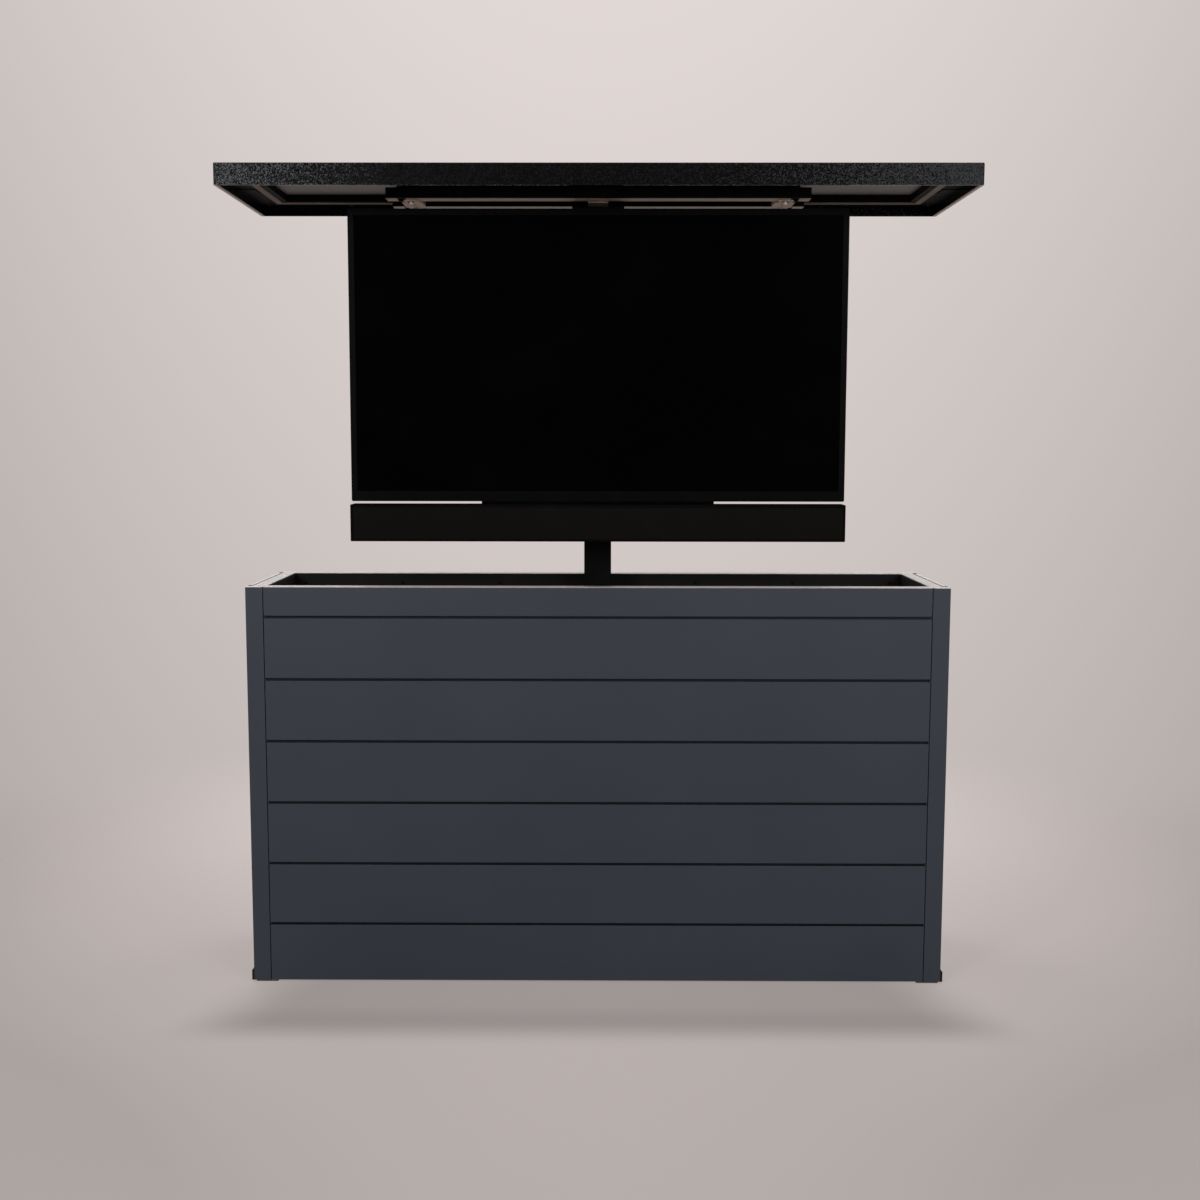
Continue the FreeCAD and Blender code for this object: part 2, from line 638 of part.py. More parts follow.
# ---------------------------------------------------------------- column
def build_column_base():
    """Base plate with its rear gussets and bolt heads, and the fixed outer tube."""
    half_x = BASE_PLATE_WIDTH / 2
    half_y = BASE_PLATE_DEPTH / 2
    plate = rounded_bar(-half_x, half_x, column_y - half_y, column_y + half_y,
                        floor_top_z, column_foot_z, BASE_PLATE_RADIUS)
    tube_back_y = column_y + outer_tube_side / 2
    profile = [(tube_back_y, column_foot_z),
               (tube_back_y + BASE_GUSSET_REACH, column_foot_z),
               (tube_back_y + BASE_GUSSET_REACH, column_foot_z + BASE_GUSSET_TOE),
               (tube_back_y + BASE_GUSSET_TOE, column_foot_z + BASE_GUSSET_HEIGHT),
               (tube_back_y, column_foot_z + BASE_GUSSET_HEIGHT)]
    half_gusset = BASE_GUSSET_THICKNESS / 2
    for x in spread(2, BASE_GUSSET_SPACING):
        plate = plate.fuse(side_profile(profile, x - half_gusset, x + half_gusset))
    save("column_base_plate", plate.removeSplitter())
    bolt_places = corners_of(half_x - COLUMN_BOLT_INSET, half_y - COLUMN_BOLT_INSET)
    save("column_bolts", *[hex_bar(COLUMN_BOLT_HEAD, Vector(x, column_y + y, column_foot_z),
                                   COLUMN_BOLT_HEAD_HEIGHT) for x, y in bolt_places])

    tube = square_tube(outer_tube_side, TUBE_WALL, TUBE_CORNER_RADIUS, 0, column_y,
                       column_foot_z, outer_top_z)
    shaft_hole = rod(DRIVE_SHAFT_RADIUS + DRIVE_SHAFT_CLEARANCE,
                     Vector(0, column_y, column_foot_z + BEVEL_BOX_HEIGHT / 2),
                     outer_tube_side, Vector(1, 0, 0))
    save("outer_tube", tube.cut(shaft_hole))


def guide_pads(outer_face, foot_z):
    """Four flat pads that fill the gap between two tubes, less the sliding clearance.

    outer_face is the distance from the column's axis to the pads' outer faces. The clearance is
    inside the pads when they sit on the outer tube, and outside when outer_face allows for it.
    """
    thickness = GUIDE_GAP - GUIDE_CLEARANCE
    half = GUIDE_PAD_WIDTH / 2
    pads = []
    for turn in (0, 90, 180, 270):
        pad = block(-half, half, outer_face - thickness, outer_face, foot_z, foot_z + GUIDE_PAD_HEIGHT)
        pad.rotate(Vector(0, 0, 0), Vector(0, 0, 1), turn)
        pad.translate(Vector(0, column_y, 0))
        pads.append(pad)
    return pads


def build_stages():
    """The two moving tubes and all guide pads."""
    outer_bore = outer_tube_side / 2 - TUBE_WALL
    middle_bore = middle_tube_side / 2 - TUBE_WALL
    save("outer_guide_pads", *guide_pads(outer_bore, outer_top_z - GUIDE_PAD_HEIGHT))
    save("middle_tube", square_tube(middle_tube_side, TUBE_WALL, TUBE_CORNER_RADIUS, 0, column_y,
                                    middle_foot_z, middle_top_z))
    save("middle_guide_pads",
         *guide_pads(outer_bore - GUIDE_CLEARANCE, middle_foot_z),
         *guide_pads(middle_bore, middle_top_z - GUIDE_PAD_HEIGHT))
    save("inner_tube", square_tube(INNER_TUBE_SIDE, TUBE_WALL, TUBE_CORNER_RADIUS, 0, column_y,
                                   inner_foot_z, inner_top_z))
    save("inner_guide_pads", *guide_pads(middle_bore - GUIDE_CLEARANCE, inner_foot_z))


def build_motor():
    """Motor and gearbox beside the outer tube, and the bevel box inside it."""
    side_x = outer_tube_side / 2
    shaft_z = column_foot_z + BEVEL_BOX_HEIGHT / 2
    gearbox = rounded_bar(side_x, side_x + GEARBOX_WIDTH, column_y - GEARBOX_DEPTH / 2,
                          column_y + GEARBOX_DEPTH / 2, column_foot_z, column_foot_z + GEARBOX_HEIGHT,
                          GEARBOX_RADIUS)
    motor_foot = Vector(side_x + GEARBOX_WIDTH / 2, column_y, column_foot_z + GEARBOX_HEIGHT)
    motor = rod(MOTOR_RADIUS, motor_foot, MOTOR_HEIGHT)
    cap = Part.makeCone(MOTOR_RADIUS, MOTOR_RADIUS - MOTOR_CAP_TAPER, MOTOR_CAP_HEIGHT,
                        motor_foot + Vector(0, 0, MOTOR_HEIGHT))
    shaft_end = Vector(side_x - DRIVE_SHAFT_LENGTH, column_y, shaft_z)
    shaft = rod(DRIVE_SHAFT_RADIUS, shaft_end, DRIVE_SHAFT_LENGTH, Vector(1, 0, 0))
    save("gear_motor", gearbox.fuse([motor, cap, shaft]).removeSplitter())

    bore = outer_tube_side / 2 - TUBE_WALL
    box = block(-bore, bore, column_y - bore, column_y + bore,
                column_foot_z, column_foot_z + BEVEL_BOX_HEIGHT)
    socket = rod(SPINDLE_RADIUS + SPINDLE_RUNNING_CLEARANCE,
                 Vector(0, column_y + SPINDLE_OFFSET, column_foot_z + SPINDLE_SEAT), BEVEL_BOX_HEIGHT)
    shaft_bore = rod(DRIVE_SHAFT_RADIUS + DRIVE_SHAFT_CLEARANCE, shaft_end, DRIVE_SHAFT_LENGTH,
                     Vector(1, 0, 0))
    save("bevel_box", box.cut(socket).cut(shaft_bore))


def build_spindle():
    """Spindle, and the nut plate that closes the foot of the middle tube."""
    spindle_y = column_y + SPINDLE_OFFSET
    spindle_foot_z = column_foot_z + SPINDLE_SEAT
    nut_top_z = middle_foot_z + NUT_HEIGHT
    spindle_top_z = nut_top_z + SPINDLE_TOP_MARGIN
    save("lift_spindle", rod(SPINDLE_RADIUS, Vector(0, spindle_y, spindle_foot_z),
                             spindle_top_z - spindle_foot_z))

    bore = middle_tube_side / 2 - TUBE_WALL
    belt_y = column_y + BELT_OFFSET
    belt_half = BELT_WIDTH / 2 + ANCHOR_POST_CLEARANCE
    nut = block(-bore, bore, column_y - bore, column_y + bore, middle_foot_z, nut_top_z)
    thread = rod(SPINDLE_RADIUS + SPINDLE_RUNNING_CLEARANCE, Vector(0, spindle_y, middle_foot_z), NUT_HEIGHT)
    post_slot = block(ANCHOR_POST_X - ANCHOR_POST_CLEARANCE,
                      ANCHOR_POST_X + ANCHOR_POST_THICKNESS + ANCHOR_POST_CLEARANCE,
                      belt_y - belt_half, belt_y + belt_half, middle_foot_z, nut_top_z)
    save("spindle_nut", nut.cut(thread).cut(post_slot))


# ---------------------------------------------------------------- belt drive
def build_belt():
    """Belt loop of the inner stage with its two pulleys, and the mast that carries their pins."""
    belt_y = column_y + BELT_OFFSET
    inner_radius = PULLEY_RADIUS + BELT_PULLEY_GAP
    outer_radius = inner_radius + BELT_THICKNESS
    nut_top_z = middle_foot_z + NUT_HEIGHT
    lower_z = nut_top_z + LOWER_PULLEY_RISE
    upper_z = middle_top_z - UPPER_PULLEY_DROP
    loops = [rounded_slab(-radius, radius, lower_z - radius, upper_z + radius,
                          belt_y - BELT_WIDTH / 2, belt_y + BELT_WIDTH / 2, radius)
             for radius in (outer_radius, inner_radius)]
    save("lift_belt", loops[0].cut(loops[1]))

    mast_front_y = belt_y + BELT_WIDTH / 2 + BELT_MAST_GAP
    mast = block(-BELT_MAST_WIDTH / 2, BELT_MAST_WIDTH / 2, mast_front_y, mast_front_y + BELT_MAST_THICKNESS,
                 nut_top_z, upper_z + BELT_MAST_WIDTH / 2)
    along_y = Vector(0, 1, 0)
    wheel_front_y = belt_y - PULLEY_WIDTH / 2
    pin_front_y = wheel_front_y - PULLEY_SIDE_GAP
    spacer_y = wheel_front_y + PULLEY_WIDTH + PULLEY_SIDE_GAP
    for node, height in (("belt_pulley_bottom", lower_z), ("belt_pulley_top", upper_z)):
        pin = rod(PULLEY_PIN_RADIUS, Vector(0, pin_front_y, height), mast_front_y - pin_front_y, along_y)
        head = hex_bar(PIN_HEAD, Vector(0, pin_front_y - PIN_HEAD_THICKNESS, height),
                       PIN_HEAD_THICKNESS, along_y)
        spacer = hex_bar(PIN_HEAD, Vector(0, spacer_y, height), mast_front_y - spacer_y, along_y)
        mast = mast.fuse([pin, head, spacer])
        wheel = rod(PULLEY_RADIUS, Vector(0, wheel_front_y, height), PULLEY_WIDTH, along_y)
        bore = rod(PULLEY_PIN_RADIUS + PULLEY_PIN_CLEARANCE, Vector(0, wheel_front_y, height),
                   PULLEY_WIDTH, along_y)
        save(node, wheel.cut(bore))
    save("belt_mast", mast.removeSplitter())


def build_belt_clamps():
    """The fixed post that holds the left run of the belt, and the inner tube's clamp on the right run."""
    front_y = column_y + BELT_OFFSET - BELT_WIDTH / 2
    back_y = front_y + BELT_WIDTH
    run_in = PULLEY_RADIUS + BELT_PULLEY_GAP - CLAMP_CLEARANCE
    run_out = PULLEY_RADIUS + BELT_PULLEY_GAP + BELT_THICKNESS + CLAMP_CLEARANCE
    grip_front_y = front_y - CLAMP_FRONT
    slot_back_y = back_y + CLAMP_CLEARANCE
    grip_back_y = slot_back_y + CLAMP_BACK
    anchor_z = middle_top_z - stage_travel - UPPER_PULLEY_DROP - ANCHOR_CLAMP_DROP
    anchor_top_z = anchor_z + CLAMP_HEIGHT
    post = block(ANCHOR_POST_X, ANCHOR_POST_X + ANCHOR_POST_THICKNESS, front_y, back_y,
                 column_foot_z + BEVEL_BOX_HEIGHT, anchor_top_z)
    grip = block(ANCHOR_POST_X, -run_in + CLAMP_LIP, grip_front_y, grip_back_y, anchor_z, anchor_top_z)
    slot = block(-run_out, -run_in, grip_front_y, slot_back_y, anchor_z, anchor_top_z)
    save("belt_anchor_post", post.fuse(grip).cut(slot).removeSplitter())

    clamp_z = inner_foot_z + INNER_CLAMP_RISE
    inner_wall_x = INNER_TUBE_SIDE / 2 - TUBE_WALL
    clamp_top_z = clamp_z + CLAMP_HEIGHT
    clamp = block(run_in - CLAMP_LIP, inner_wall_x, grip_front_y, grip_back_y, clamp_z, clamp_top_z)
    slot = block(run_in, run_out, grip_front_y, slot_back_y, clamp_z, clamp_top_z)
    save("belt_clamp", clamp.cut(slot))


# ---------------------------------------------------------------- head and mount
def build_head():
    """Gallows plate on the inner tube and the mast up to the lid's rails."""
    plate_top_z = inner_top_z + HEAD_PLATE_THICKNESS
    half = MAST_WIDTH / 2
    back_y = column_y + INNER_TUBE_SIDE / 2 + HEAD_PLATE_REACH
    plate = block(-half, half, mount_plate_back_y, back_y, inner_top_z, plate_top_z)
    plug_half = INNER_TUBE_SIDE / 2 - TUBE_WALL - HEAD_PLUG_CLEARANCE
    plug = block(-plug_half, plug_half, column_y - plug_half, column_y + plug_half,
                 inner_top_z - HEAD_PLUG_DEPTH, inner_top_z)
    bracket = plate.fuse(plug)
    profile = [(mast_back_y, plate_top_z),
               (back_y, plate_top_z),
               (back_y, plate_top_z + GUSSET_TOE),
               (mast_back_y + GUSSET_TOE, plate_top_z + GUSSET_HEIGHT),
               (mast_back_y, plate_top_z + GUSSET_HEIGHT)]
    for x in spread(2, GUSSET_SPACING):
        bracket = bracket.fuse(side_profile(profile, x - GUSSET_THICKNESS / 2, x + GUSSET_THICKNESS / 2))
    save("head_bracket", bracket.removeSplitter())

    mast = block(-half, half, mount_plate_back_y, mast_back_y, plate_top_z, rail_top_z)
    hollow = block(-half + MAST_WALL, half - MAST_WALL, mount_plate_back_y + MAST_WALL,
                   mast_back_y - MAST_WALL, plate_top_z, rail_top_z - MAST_WALL)
    save("lid_mast", mast.cut(hollow))


def build_mount_plate():
    """Flanged sheet-metal plate in front of the column, with four windows."""
    half = MOUNT_PLATE_WIDTH / 2
    flange_y = mount_plate_front_y - MOUNT_PLATE_FLANGE
    outer = block(-half, half, flange_y, mount_plate_back_y, mount_foot_z, mount_top_z)
    hollow = block(-half + MOUNT_PLATE_THICKNESS, half - MOUNT_PLATE_THICKNESS,
                   flange_y, mount_plate_front_y, mount_foot_z, mount_top_z)
    plate = outer.cut(hollow)
    lower_foot_z = mount_foot_z + MOUNT_WINDOW_LOWER_RISE
    for centre_x in spread(2, 2 * MOUNT_WINDOW_X):
        x0 = centre_x - MOUNT_WINDOW_WIDTH / 2
        x1 = centre_x + MOUNT_WINDOW_WIDTH / 2
        for z0, height in ((tv_middle_z - MOUNT_WINDOW_UPPER_HEIGHT / 2, MOUNT_WINDOW_UPPER_HEIGHT),
                           (lower_foot_z, MOUNT_WINDOW_LOWER_HEIGHT)):
            plate = plate.cut(rounded_slab(x0, x1, z0, z0 + height, mount_plate_front_y, mount_plate_back_y,
                                           MOUNT_WINDOW_RADIUS))
    save("tv_mount_plate", plate)


def build_mount():
    """The mount plate's two rails, the television's arms and the bolt heads."""
    rails = []
    half_length = MOUNT_RAIL_LENGTH / 2
    for offset in spread(2, MOUNT_RAIL_SPACING):
        foot_z = tv_middle_z + offset - MOUNT_RAIL_HEIGHT / 2
        rail = block(-half_length, half_length, arm_back_y, mount_plate_front_y,
                     foot_z, foot_z + MOUNT_RAIL_HEIGHT)
        hollow = block(-half_length, half_length, arm_back_y + MOUNT_RAIL_WALL, mount_plate_front_y,
                       foot_z + MOUNT_RAIL_WALL, foot_z + MOUNT_RAIL_HEIGHT - MOUNT_RAIL_WALL)
        rails.append(rail.cut(hollow))
    save("tv_mount_rails", *rails)

    arms = []
    arm_foot_z = tv_middle_z - MOUNT_ARM_LENGTH / 2
    arm_top_z = tv_middle_z + MOUNT_ARM_LENGTH / 2
    for x in spread(2, VESA_WIDTH):
        x0 = x - MOUNT_ARM_WIDTH / 2
        x1 = x + MOUNT_ARM_WIDTH / 2
        arm = block(x0, x1, tv_back_y, arm_back_y, arm_foot_z, arm_top_z)
        hollow = block(x0 + MOUNT_ARM_WALL, x1 - MOUNT_ARM_WALL, tv_back_y + MOUNT_ARM_WALL, arm_back_y,
                       arm_foot_z, arm_top_z)
        arms.append(arm.cut(hollow))
    save("tv_mount_arms", *arms)

    along_y = Vector(0, 1, 0)
    web_y = tv_back_y + MOUNT_ARM_WALL
    heads = [hex_bar(MOUNT_BOLT_HEAD, Vector(x, web_y, tv_middle_z + z), MOUNT_BOLT_HEAD_HEIGHT, along_y)
             for x, z in corners_of(VESA_WIDTH / 2, VESA_HEIGHT / 2)]
    head_y = mount_plate_front_y - MOUNT_BOLT_HEAD_HEIGHT
    for x in spread(2, MAST_BOLT_SPACING_X):
        for row in range(2):
            start = Vector(x, head_y, mount_top_z - MAST_BOLT_DROP - row * MAST_BOLT_SPACING_Z)
            heads.append(hex_bar(MOUNT_BOLT_HEAD, start, MOUNT_BOLT_HEAD_HEIGHT, along_y))
    down = Vector(0, 0, -1)
    lap_front_y = front_rail_front_y + LID_RAIL_WIDTH - CROSS_BRACKET_LAP / 2
    lap_rear_y = rear_rail_front_y + CROSS_BRACKET_LAP / 2
    for x in spread(2, 2 * CROSS_BRACKET_X):
        for y in (lap_front_y, lap_rear_y):
            start = Vector(x, y, rail_foot_z - CROSS_BRACKET_WALL)
            heads.append(hex_bar(MOUNT_BOLT_HEAD, start, MOUNT_BOLT_HEAD_HEIGHT, down))
    save("mount_bolts", *heads)


# ---------------------------------------------------------------- television
def tapered_box(half_x, z0, z1, y0, y1, taper, radius):
    """A lofted box that stands out along +Y and gets smaller by taper on each side."""
    base = rounded_outline(-half_x, half_x, z0, z1, radius, 0)
    top = rounded_outline(-half_x + taper, half_x - taper, z0 + taper, z1 - taper, radius, y1 - y0)
    return turned_to_face_y(Part.makeLoft([base, top], True, True), y0)


def build_screen():
    """Bezel and glass."""
    half = TV_WIDTH / 2
    lip_back_y = TV_FRONT_Y + TV_BEZEL_LIP
    bezel_back_y = TV_FRONT_Y + TV_BEZEL_DEPTH
    bezel = rounded_slab(-half, half, tv_foot_z, tv_top_z, TV_FRONT_Y, bezel_back_y, TV_CORNER_RADIUS)
    window = block(-half + TV_BEZEL_SIDE, half - TV_BEZEL_SIDE, TV_FRONT_Y, lip_back_y,
                   tv_foot_z + TV_BEZEL_FOOT, tv_top_z - TV_BEZEL_TOP)
    rebate = block(-half + TV_BEZEL_RIM, half - TV_BEZEL_RIM, lip_back_y, bezel_back_y,
                   tv_foot_z + TV_BEZEL_RIM, tv_top_z - TV_BEZEL_RIM)
    save("tv_bezel", bezel.cut(window).cut(rebate))

    glass = block(-half + TV_BEZEL_SIDE - TV_GLASS_LAP, half - TV_BEZEL_SIDE + TV_GLASS_LAP,
                  lip_back_y, lip_back_y + TV_GLASS_THICKNESS,
                  tv_foot_z + TV_BEZEL_FOOT - TV_GLASS_LAP, tv_top_z - TV_BEZEL_TOP + TV_GLASS_LAP)
    save("tv_screen", glass)


def build_back_cover():
    """Hollow rear cover of the television, with a raised middle, vents and a pocket for plugs."""
    half = TV_WIDTH / 2
    wall = TV_SHELL_WALL
    front_y = TV_FRONT_Y + TV_BEZEL_DEPTH
    edge_back_y = front_y + TV_EDGE_DEPTH
    cover = rounded_slab(-half, half, tv_foot_z, tv_top_z, front_y, edge_back_y, TV_CORNER_RADIUS)
    bump_foot_z = tv_foot_z + TV_BUMP_RISE
    bump_top_z = bump_foot_z + TV_BUMP_HEIGHT
    bump = tapered_box(TV_BUMP_WIDTH / 2, bump_foot_z, bump_top_z, edge_back_y, tv_back_y,
                       TV_BUMP_TAPER, TV_BUMP_RADIUS)
    hollow = block(-half + wall, half - wall, front_y, edge_back_y - wall, tv_foot_z + wall, tv_top_z - wall)
    bump_hollow = tapered_box(TV_BUMP_WIDTH / 2 - wall, bump_foot_z + wall, bump_top_z - wall,
                              edge_back_y - wall, tv_back_y - wall, TV_BUMP_TAPER, TV_BUMP_RADIUS - wall)
    cover = cover.fuse(bump).cut(hollow).cut(bump_hollow)
    port_foot_z = bump_foot_z + TV_BUMP_TAPER + TV_PORT_RISE
    cover = with_pocket(cover, TV_PORT_X - TV_PORT_WIDTH / 2, TV_PORT_X + TV_PORT_WIDTH / 2,
                        port_foot_z, port_foot_z + TV_PORT_HEIGHT, tv_back_y, TV_PORT_DEPTH, wall)
    vent_top_z = bump_top_z - TV_BUMP_TAPER - TV_VENT_DROP
    vents = [block(group_x + x - TV_VENT_WIDTH / 2, group_x + x + TV_VENT_WIDTH / 2,
                   tv_back_y - TV_VENT_DEPTH, tv_back_y, vent_top_z - TV_VENT_HEIGHT, vent_top_z)
             for group_x in spread(2, 2 * TV_VENT_GROUP_X)
             for x in spread(TV_VENTS_PER_GROUP, TV_VENT_PITCH)]
    save("tv_back_cover", cover.cut(Part.makeCompound(vents)))


# ---------------------------------------------------------------- soundbar
def build_soundbar():
    """Hollow soundbar case with a pocket for plugs, its front grille and its bracket."""
    half = SOUNDBAR_WIDTH / 2
    wall = SOUNDBAR_WALL
    case_front_y = SOUNDBAR_FRONT_Y + GRILLE_THICKNESS
    back_y = SOUNDBAR_FRONT_Y + SOUNDBAR_DEPTH
    case = rounded_slab(-half, half, soundbar_foot_z, soundbar_top_z, case_front_y, back_y, SOUNDBAR_RADIUS)
    case = case.cut(block(-half + wall, half - wall, case_front_y, back_y - wall,
                          soundbar_foot_z + wall, soundbar_top_z - wall))
    port_foot_z = (soundbar_foot_z + soundbar_top_z - SOUNDBAR_PORT_HEIGHT) / 2
    save("soundbar_housing", with_pocket(case, -SOUNDBAR_PORT_WIDTH / 2, SOUNDBAR_PORT_WIDTH / 2,
                                         port_foot_z, port_foot_z + SOUNDBAR_PORT_HEIGHT,
                                         back_y, SOUNDBAR_PORT_DEPTH, wall))
    save("soundbar_grille", rounded_slab(-half + GRILLE_MARGIN, half - GRILLE_MARGIN,
                                         soundbar_foot_z + GRILLE_MARGIN, soundbar_top_z - GRILLE_MARGIN,
                                         SOUNDBAR_FRONT_Y, case_front_y, SOUNDBAR_RADIUS))
    arms = []
    for x in spread(2, SOUNDBAR_ARM_SPACING):
        x0 = x - SOUNDBAR_ARM_WIDTH / 2
        x1 = x + SOUNDBAR_ARM_WIDTH / 2
        arm = block(x0, x1, back_y, mount_plate_front_y, mount_foot_z, mount_foot_z + SOUNDBAR_ARM_HEIGHT)
        hollow = block(x0 + SOUNDBAR_ARM_WALL, x1, back_y + SOUNDBAR_ARM_WALL,
                       mount_plate_front_y - SOUNDBAR_ARM_WALL,
                       mount_foot_z, mount_foot_z + SOUNDBAR_ARM_HEIGHT)
        arms.append(arm.cut(hollow))
    save("soundbar_bracket", *arms)


# ---------------------------------------------------------------- lid
def strap_pieces(front_y):
    """The strap that closes a rail's underside: two ends and a middle, parted by notches."""
    half = LID_RAIL_LENGTH / 2
    y0 = front_y + LID_RAIL_WALL
    y1 = front_y + LID_RAIL_WIDTH - LID_RAIL_WALL
    middle = half - LID_STRAP_END - LID_STRAP_NOTCH
    spans = [(-half, -half + LID_STRAP_END), (-middle, middle), (half - LID_STRAP_END, half)]
    return [block(x0, x1, y0, y1, rail_foot_z, rail_foot_z + LID_STRAP_THICKNESS) for x0, x1 in spans]


def spacer_bar(front_y):
    """A square-edged tube that lies along a rail, between the rail and the lid."""
    middle_y = front_y + LID_RAIL_WIDTH / 2
    half = STANDOFF_LENGTH / 2
    y0 = middle_y - STANDOFF_WIDTH / 2
    y1 = middle_y + STANDOFF_WIDTH / 2
    wall = STANDOFF_WALL
    bar = block(-half, half, y0, y1, rail_top_z, lid_panel_foot_z)
    return bar.cut(block(-half, half, y0 + wall, y1 - wall, rail_top_z + wall, lid_panel_foot_z - wall))


def bracket_channel(x, width, y0, y1):
    """A channel from the front rail to y1, its base level with the tongues under the rails."""
    half = width / 2
    foot_z = rail_foot_z - CROSS_BRACKET_WALL
    return channel_up(x - half, x + half, y0, y1, foot_z, rail_top_z, CROSS_BRACKET_WALL)


def cross_bracket(x, y0, y1):
    """A channel between the rails, with a holed base and a narrower tongue under each rail."""
    half = CROSS_BRACKET_TONGUE / 2
    foot_z = rail_foot_z - CROSS_BRACKET_WALL
    tongue = block(x - half, x + half, y0 - CROSS_BRACKET_LAP, y1 + CROSS_BRACKET_LAP, foot_z, rail_foot_z)
    hole = rod(CROSS_BRACKET_HOLE_RADIUS, Vector(x, (y0 + y1) / 2, foot_z), CROSS_BRACKET_WALL)
    channel = bracket_channel(x, CROSS_BRACKET_WIDTH, y0, y1)
    return channel.fuse(tongue).removeSplitter().cut(hole)


def build_lid_rails():
    """Two channels under the lid, their straps, the bars above them and the cross brackets."""
    half = LID_RAIL_LENGTH / 2
    straps = []
    for node, front_y in (("lid_rail_front", front_rail_front_y), ("lid_rail_rear", rear_rail_front_y)):
        back_y = front_y + LID_RAIL_WIDTH
        rail = block(-half, half, front_y, back_y, rail_foot_z, rail_top_z)
        save(node, rail.cut(block(-half, half, front_y + LID_RAIL_WALL, back_y - LID_RAIL_WALL,
                                  rail_foot_z, rail_top_z - LID_RAIL_WALL)))
        straps += strap_pieces(front_y)
    save("lid_rail_straps", *straps)
    save("lid_standoffs", spacer_bar(front_rail_front_y), spacer_bar(rear_rail_front_y))

    between_y = front_rail_front_y + LID_RAIL_WIDTH
    brackets = [bracket_channel(0, CENTRE_BRACKET_WIDTH, between_y, mount_plate_back_y)]
    brackets += [cross_bracket(x, between_y, rear_rail_front_y) for x in spread(2, 2 * CROSS_BRACKET_X)]
    save("lid_cross_brackets", *brackets)


def build_lid_shell():
    """Folded capping shell with chamfered top edges, and the pale panel on its underside."""
    half_x = LID_LENGTH / 2
    half_y = LID_DEPTH / 2
    outer = rounded_bar(-half_x, half_x, -half_y, half_y, lid_foot_z, lid_top_z, LID_CORNER_RADIUS)
    outer = outer.makeChamfer(LID_EDGE_CHAMFER, edges_at(outer, z=lid_top_z))
    inside_x = half_x - LID_SKIRT_THICKNESS
    inside_y = half_y - LID_SKIRT_THICKNESS
    save("lid_shell", outer.cut(block(-inside_x, inside_x, -inside_y, inside_y, lid_foot_z, lid_ceiling_z)))
    save("lid_underside_panel", block(-well_half_width, well_half_width, -well_half_depth, well_half_depth,
                                      lid_panel_foot_z, lid_ceiling_z))


def build_lid_border():
    """Border boards round the lid's underside, with a small plate under each end."""
    inside_x = LID_LENGTH / 2 - LID_SKIRT_THICKNESS
    inside_y = LID_DEPTH / 2 - LID_SKIRT_THICKNESS
    pieces = []
    for sign in (-1, 1):
        y0, y1 = sorted((sign * well_half_depth, sign * inside_y))
        pieces.append(block(-inside_x, inside_x, y0, y1, border_foot_z, lid_ceiling_z))
        x0, x1 = sorted((sign * well_half_width, sign * inside_x))
        pieces.append(block(x0, x1, -well_half_depth, well_half_depth, border_foot_z, lid_ceiling_z))
        plate_x0, plate_x1 = sorted((sign * (inside_x - LID_END_PLATE_WIDTH), sign * inside_x))
        pieces.append(rounded_bar(plate_x0, plate_x1, -LID_END_PLATE_LENGTH / 2, LID_END_PLATE_LENGTH / 2,
                                  border_foot_z - LID_END_PLATE_THICKNESS, border_foot_z,
                                  LID_END_PLATE_RADIUS))
    save("lid_border", *pieces)


def build_lid_gasket():
    """Sealing strip that closes on the middle of the rim."""
    half_width_x = GASKET_WIDTH / 2
    ring_x = well_half_width + FRAME_TUBE / 2 + GASKET_END_SHIFT
    ring_y = well_half_depth + FRAME_TUBE / 2
    strips = []
    for sign in (-1, 1):
        strips.append(block(-ring_x - half_width_x, ring_x + half_width_x,
                            sign * ring_y - half_width_x, sign * ring_y + half_width_x,
                            gasket_foot_z, border_foot_z))
        strips.append(block(sign * ring_x - half_width_x, sign * ring_x + half_width_x,
                            -ring_y + half_width_x, ring_y - half_width_x,
                            gasket_foot_z, border_foot_z))
    save("lid_gasket", *strips)


# ---------------------------------------------------------------- whole
def build_all():
    """Every node, from the floor up."""
    os.makedirs("parts", exist_ok=True)
    build_frame()
    build_feet()
    build_posts()
    build_cladding()
    build_liners()
    build_floor()
    build_control_box()
    build_column_base()
    build_stages()
    build_motor()
    build_spindle()
    build_belt()
    build_belt_clamps()
    build_head()
    build_mount_plate()
    build_mount()
    build_screen()
    build_back_cover()
    build_soundbar()
    build_lid_rails()
    build_lid_shell()
    build_lid_border()
    build_lid_gasket()


build_all()
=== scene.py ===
"""Finishes, fine detail and studio of a television lift cabinet.

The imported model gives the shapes. This script dresses them, adds what is too fine for them, such as
the thread of the lifting screw, the teeth of the belt and the mesh of the soundbar, and sets up the
floor, the light and the camera. Metres. X to the right, Y away from the front, Z up.
"""

from __future__ import annotations

import json
import logging
import math
from dataclasses import dataclass
from enum import Enum
from typing import Iterable, Iterator, Sequence

import bmesh
import bpy
from mathutils import Matrix, Vector

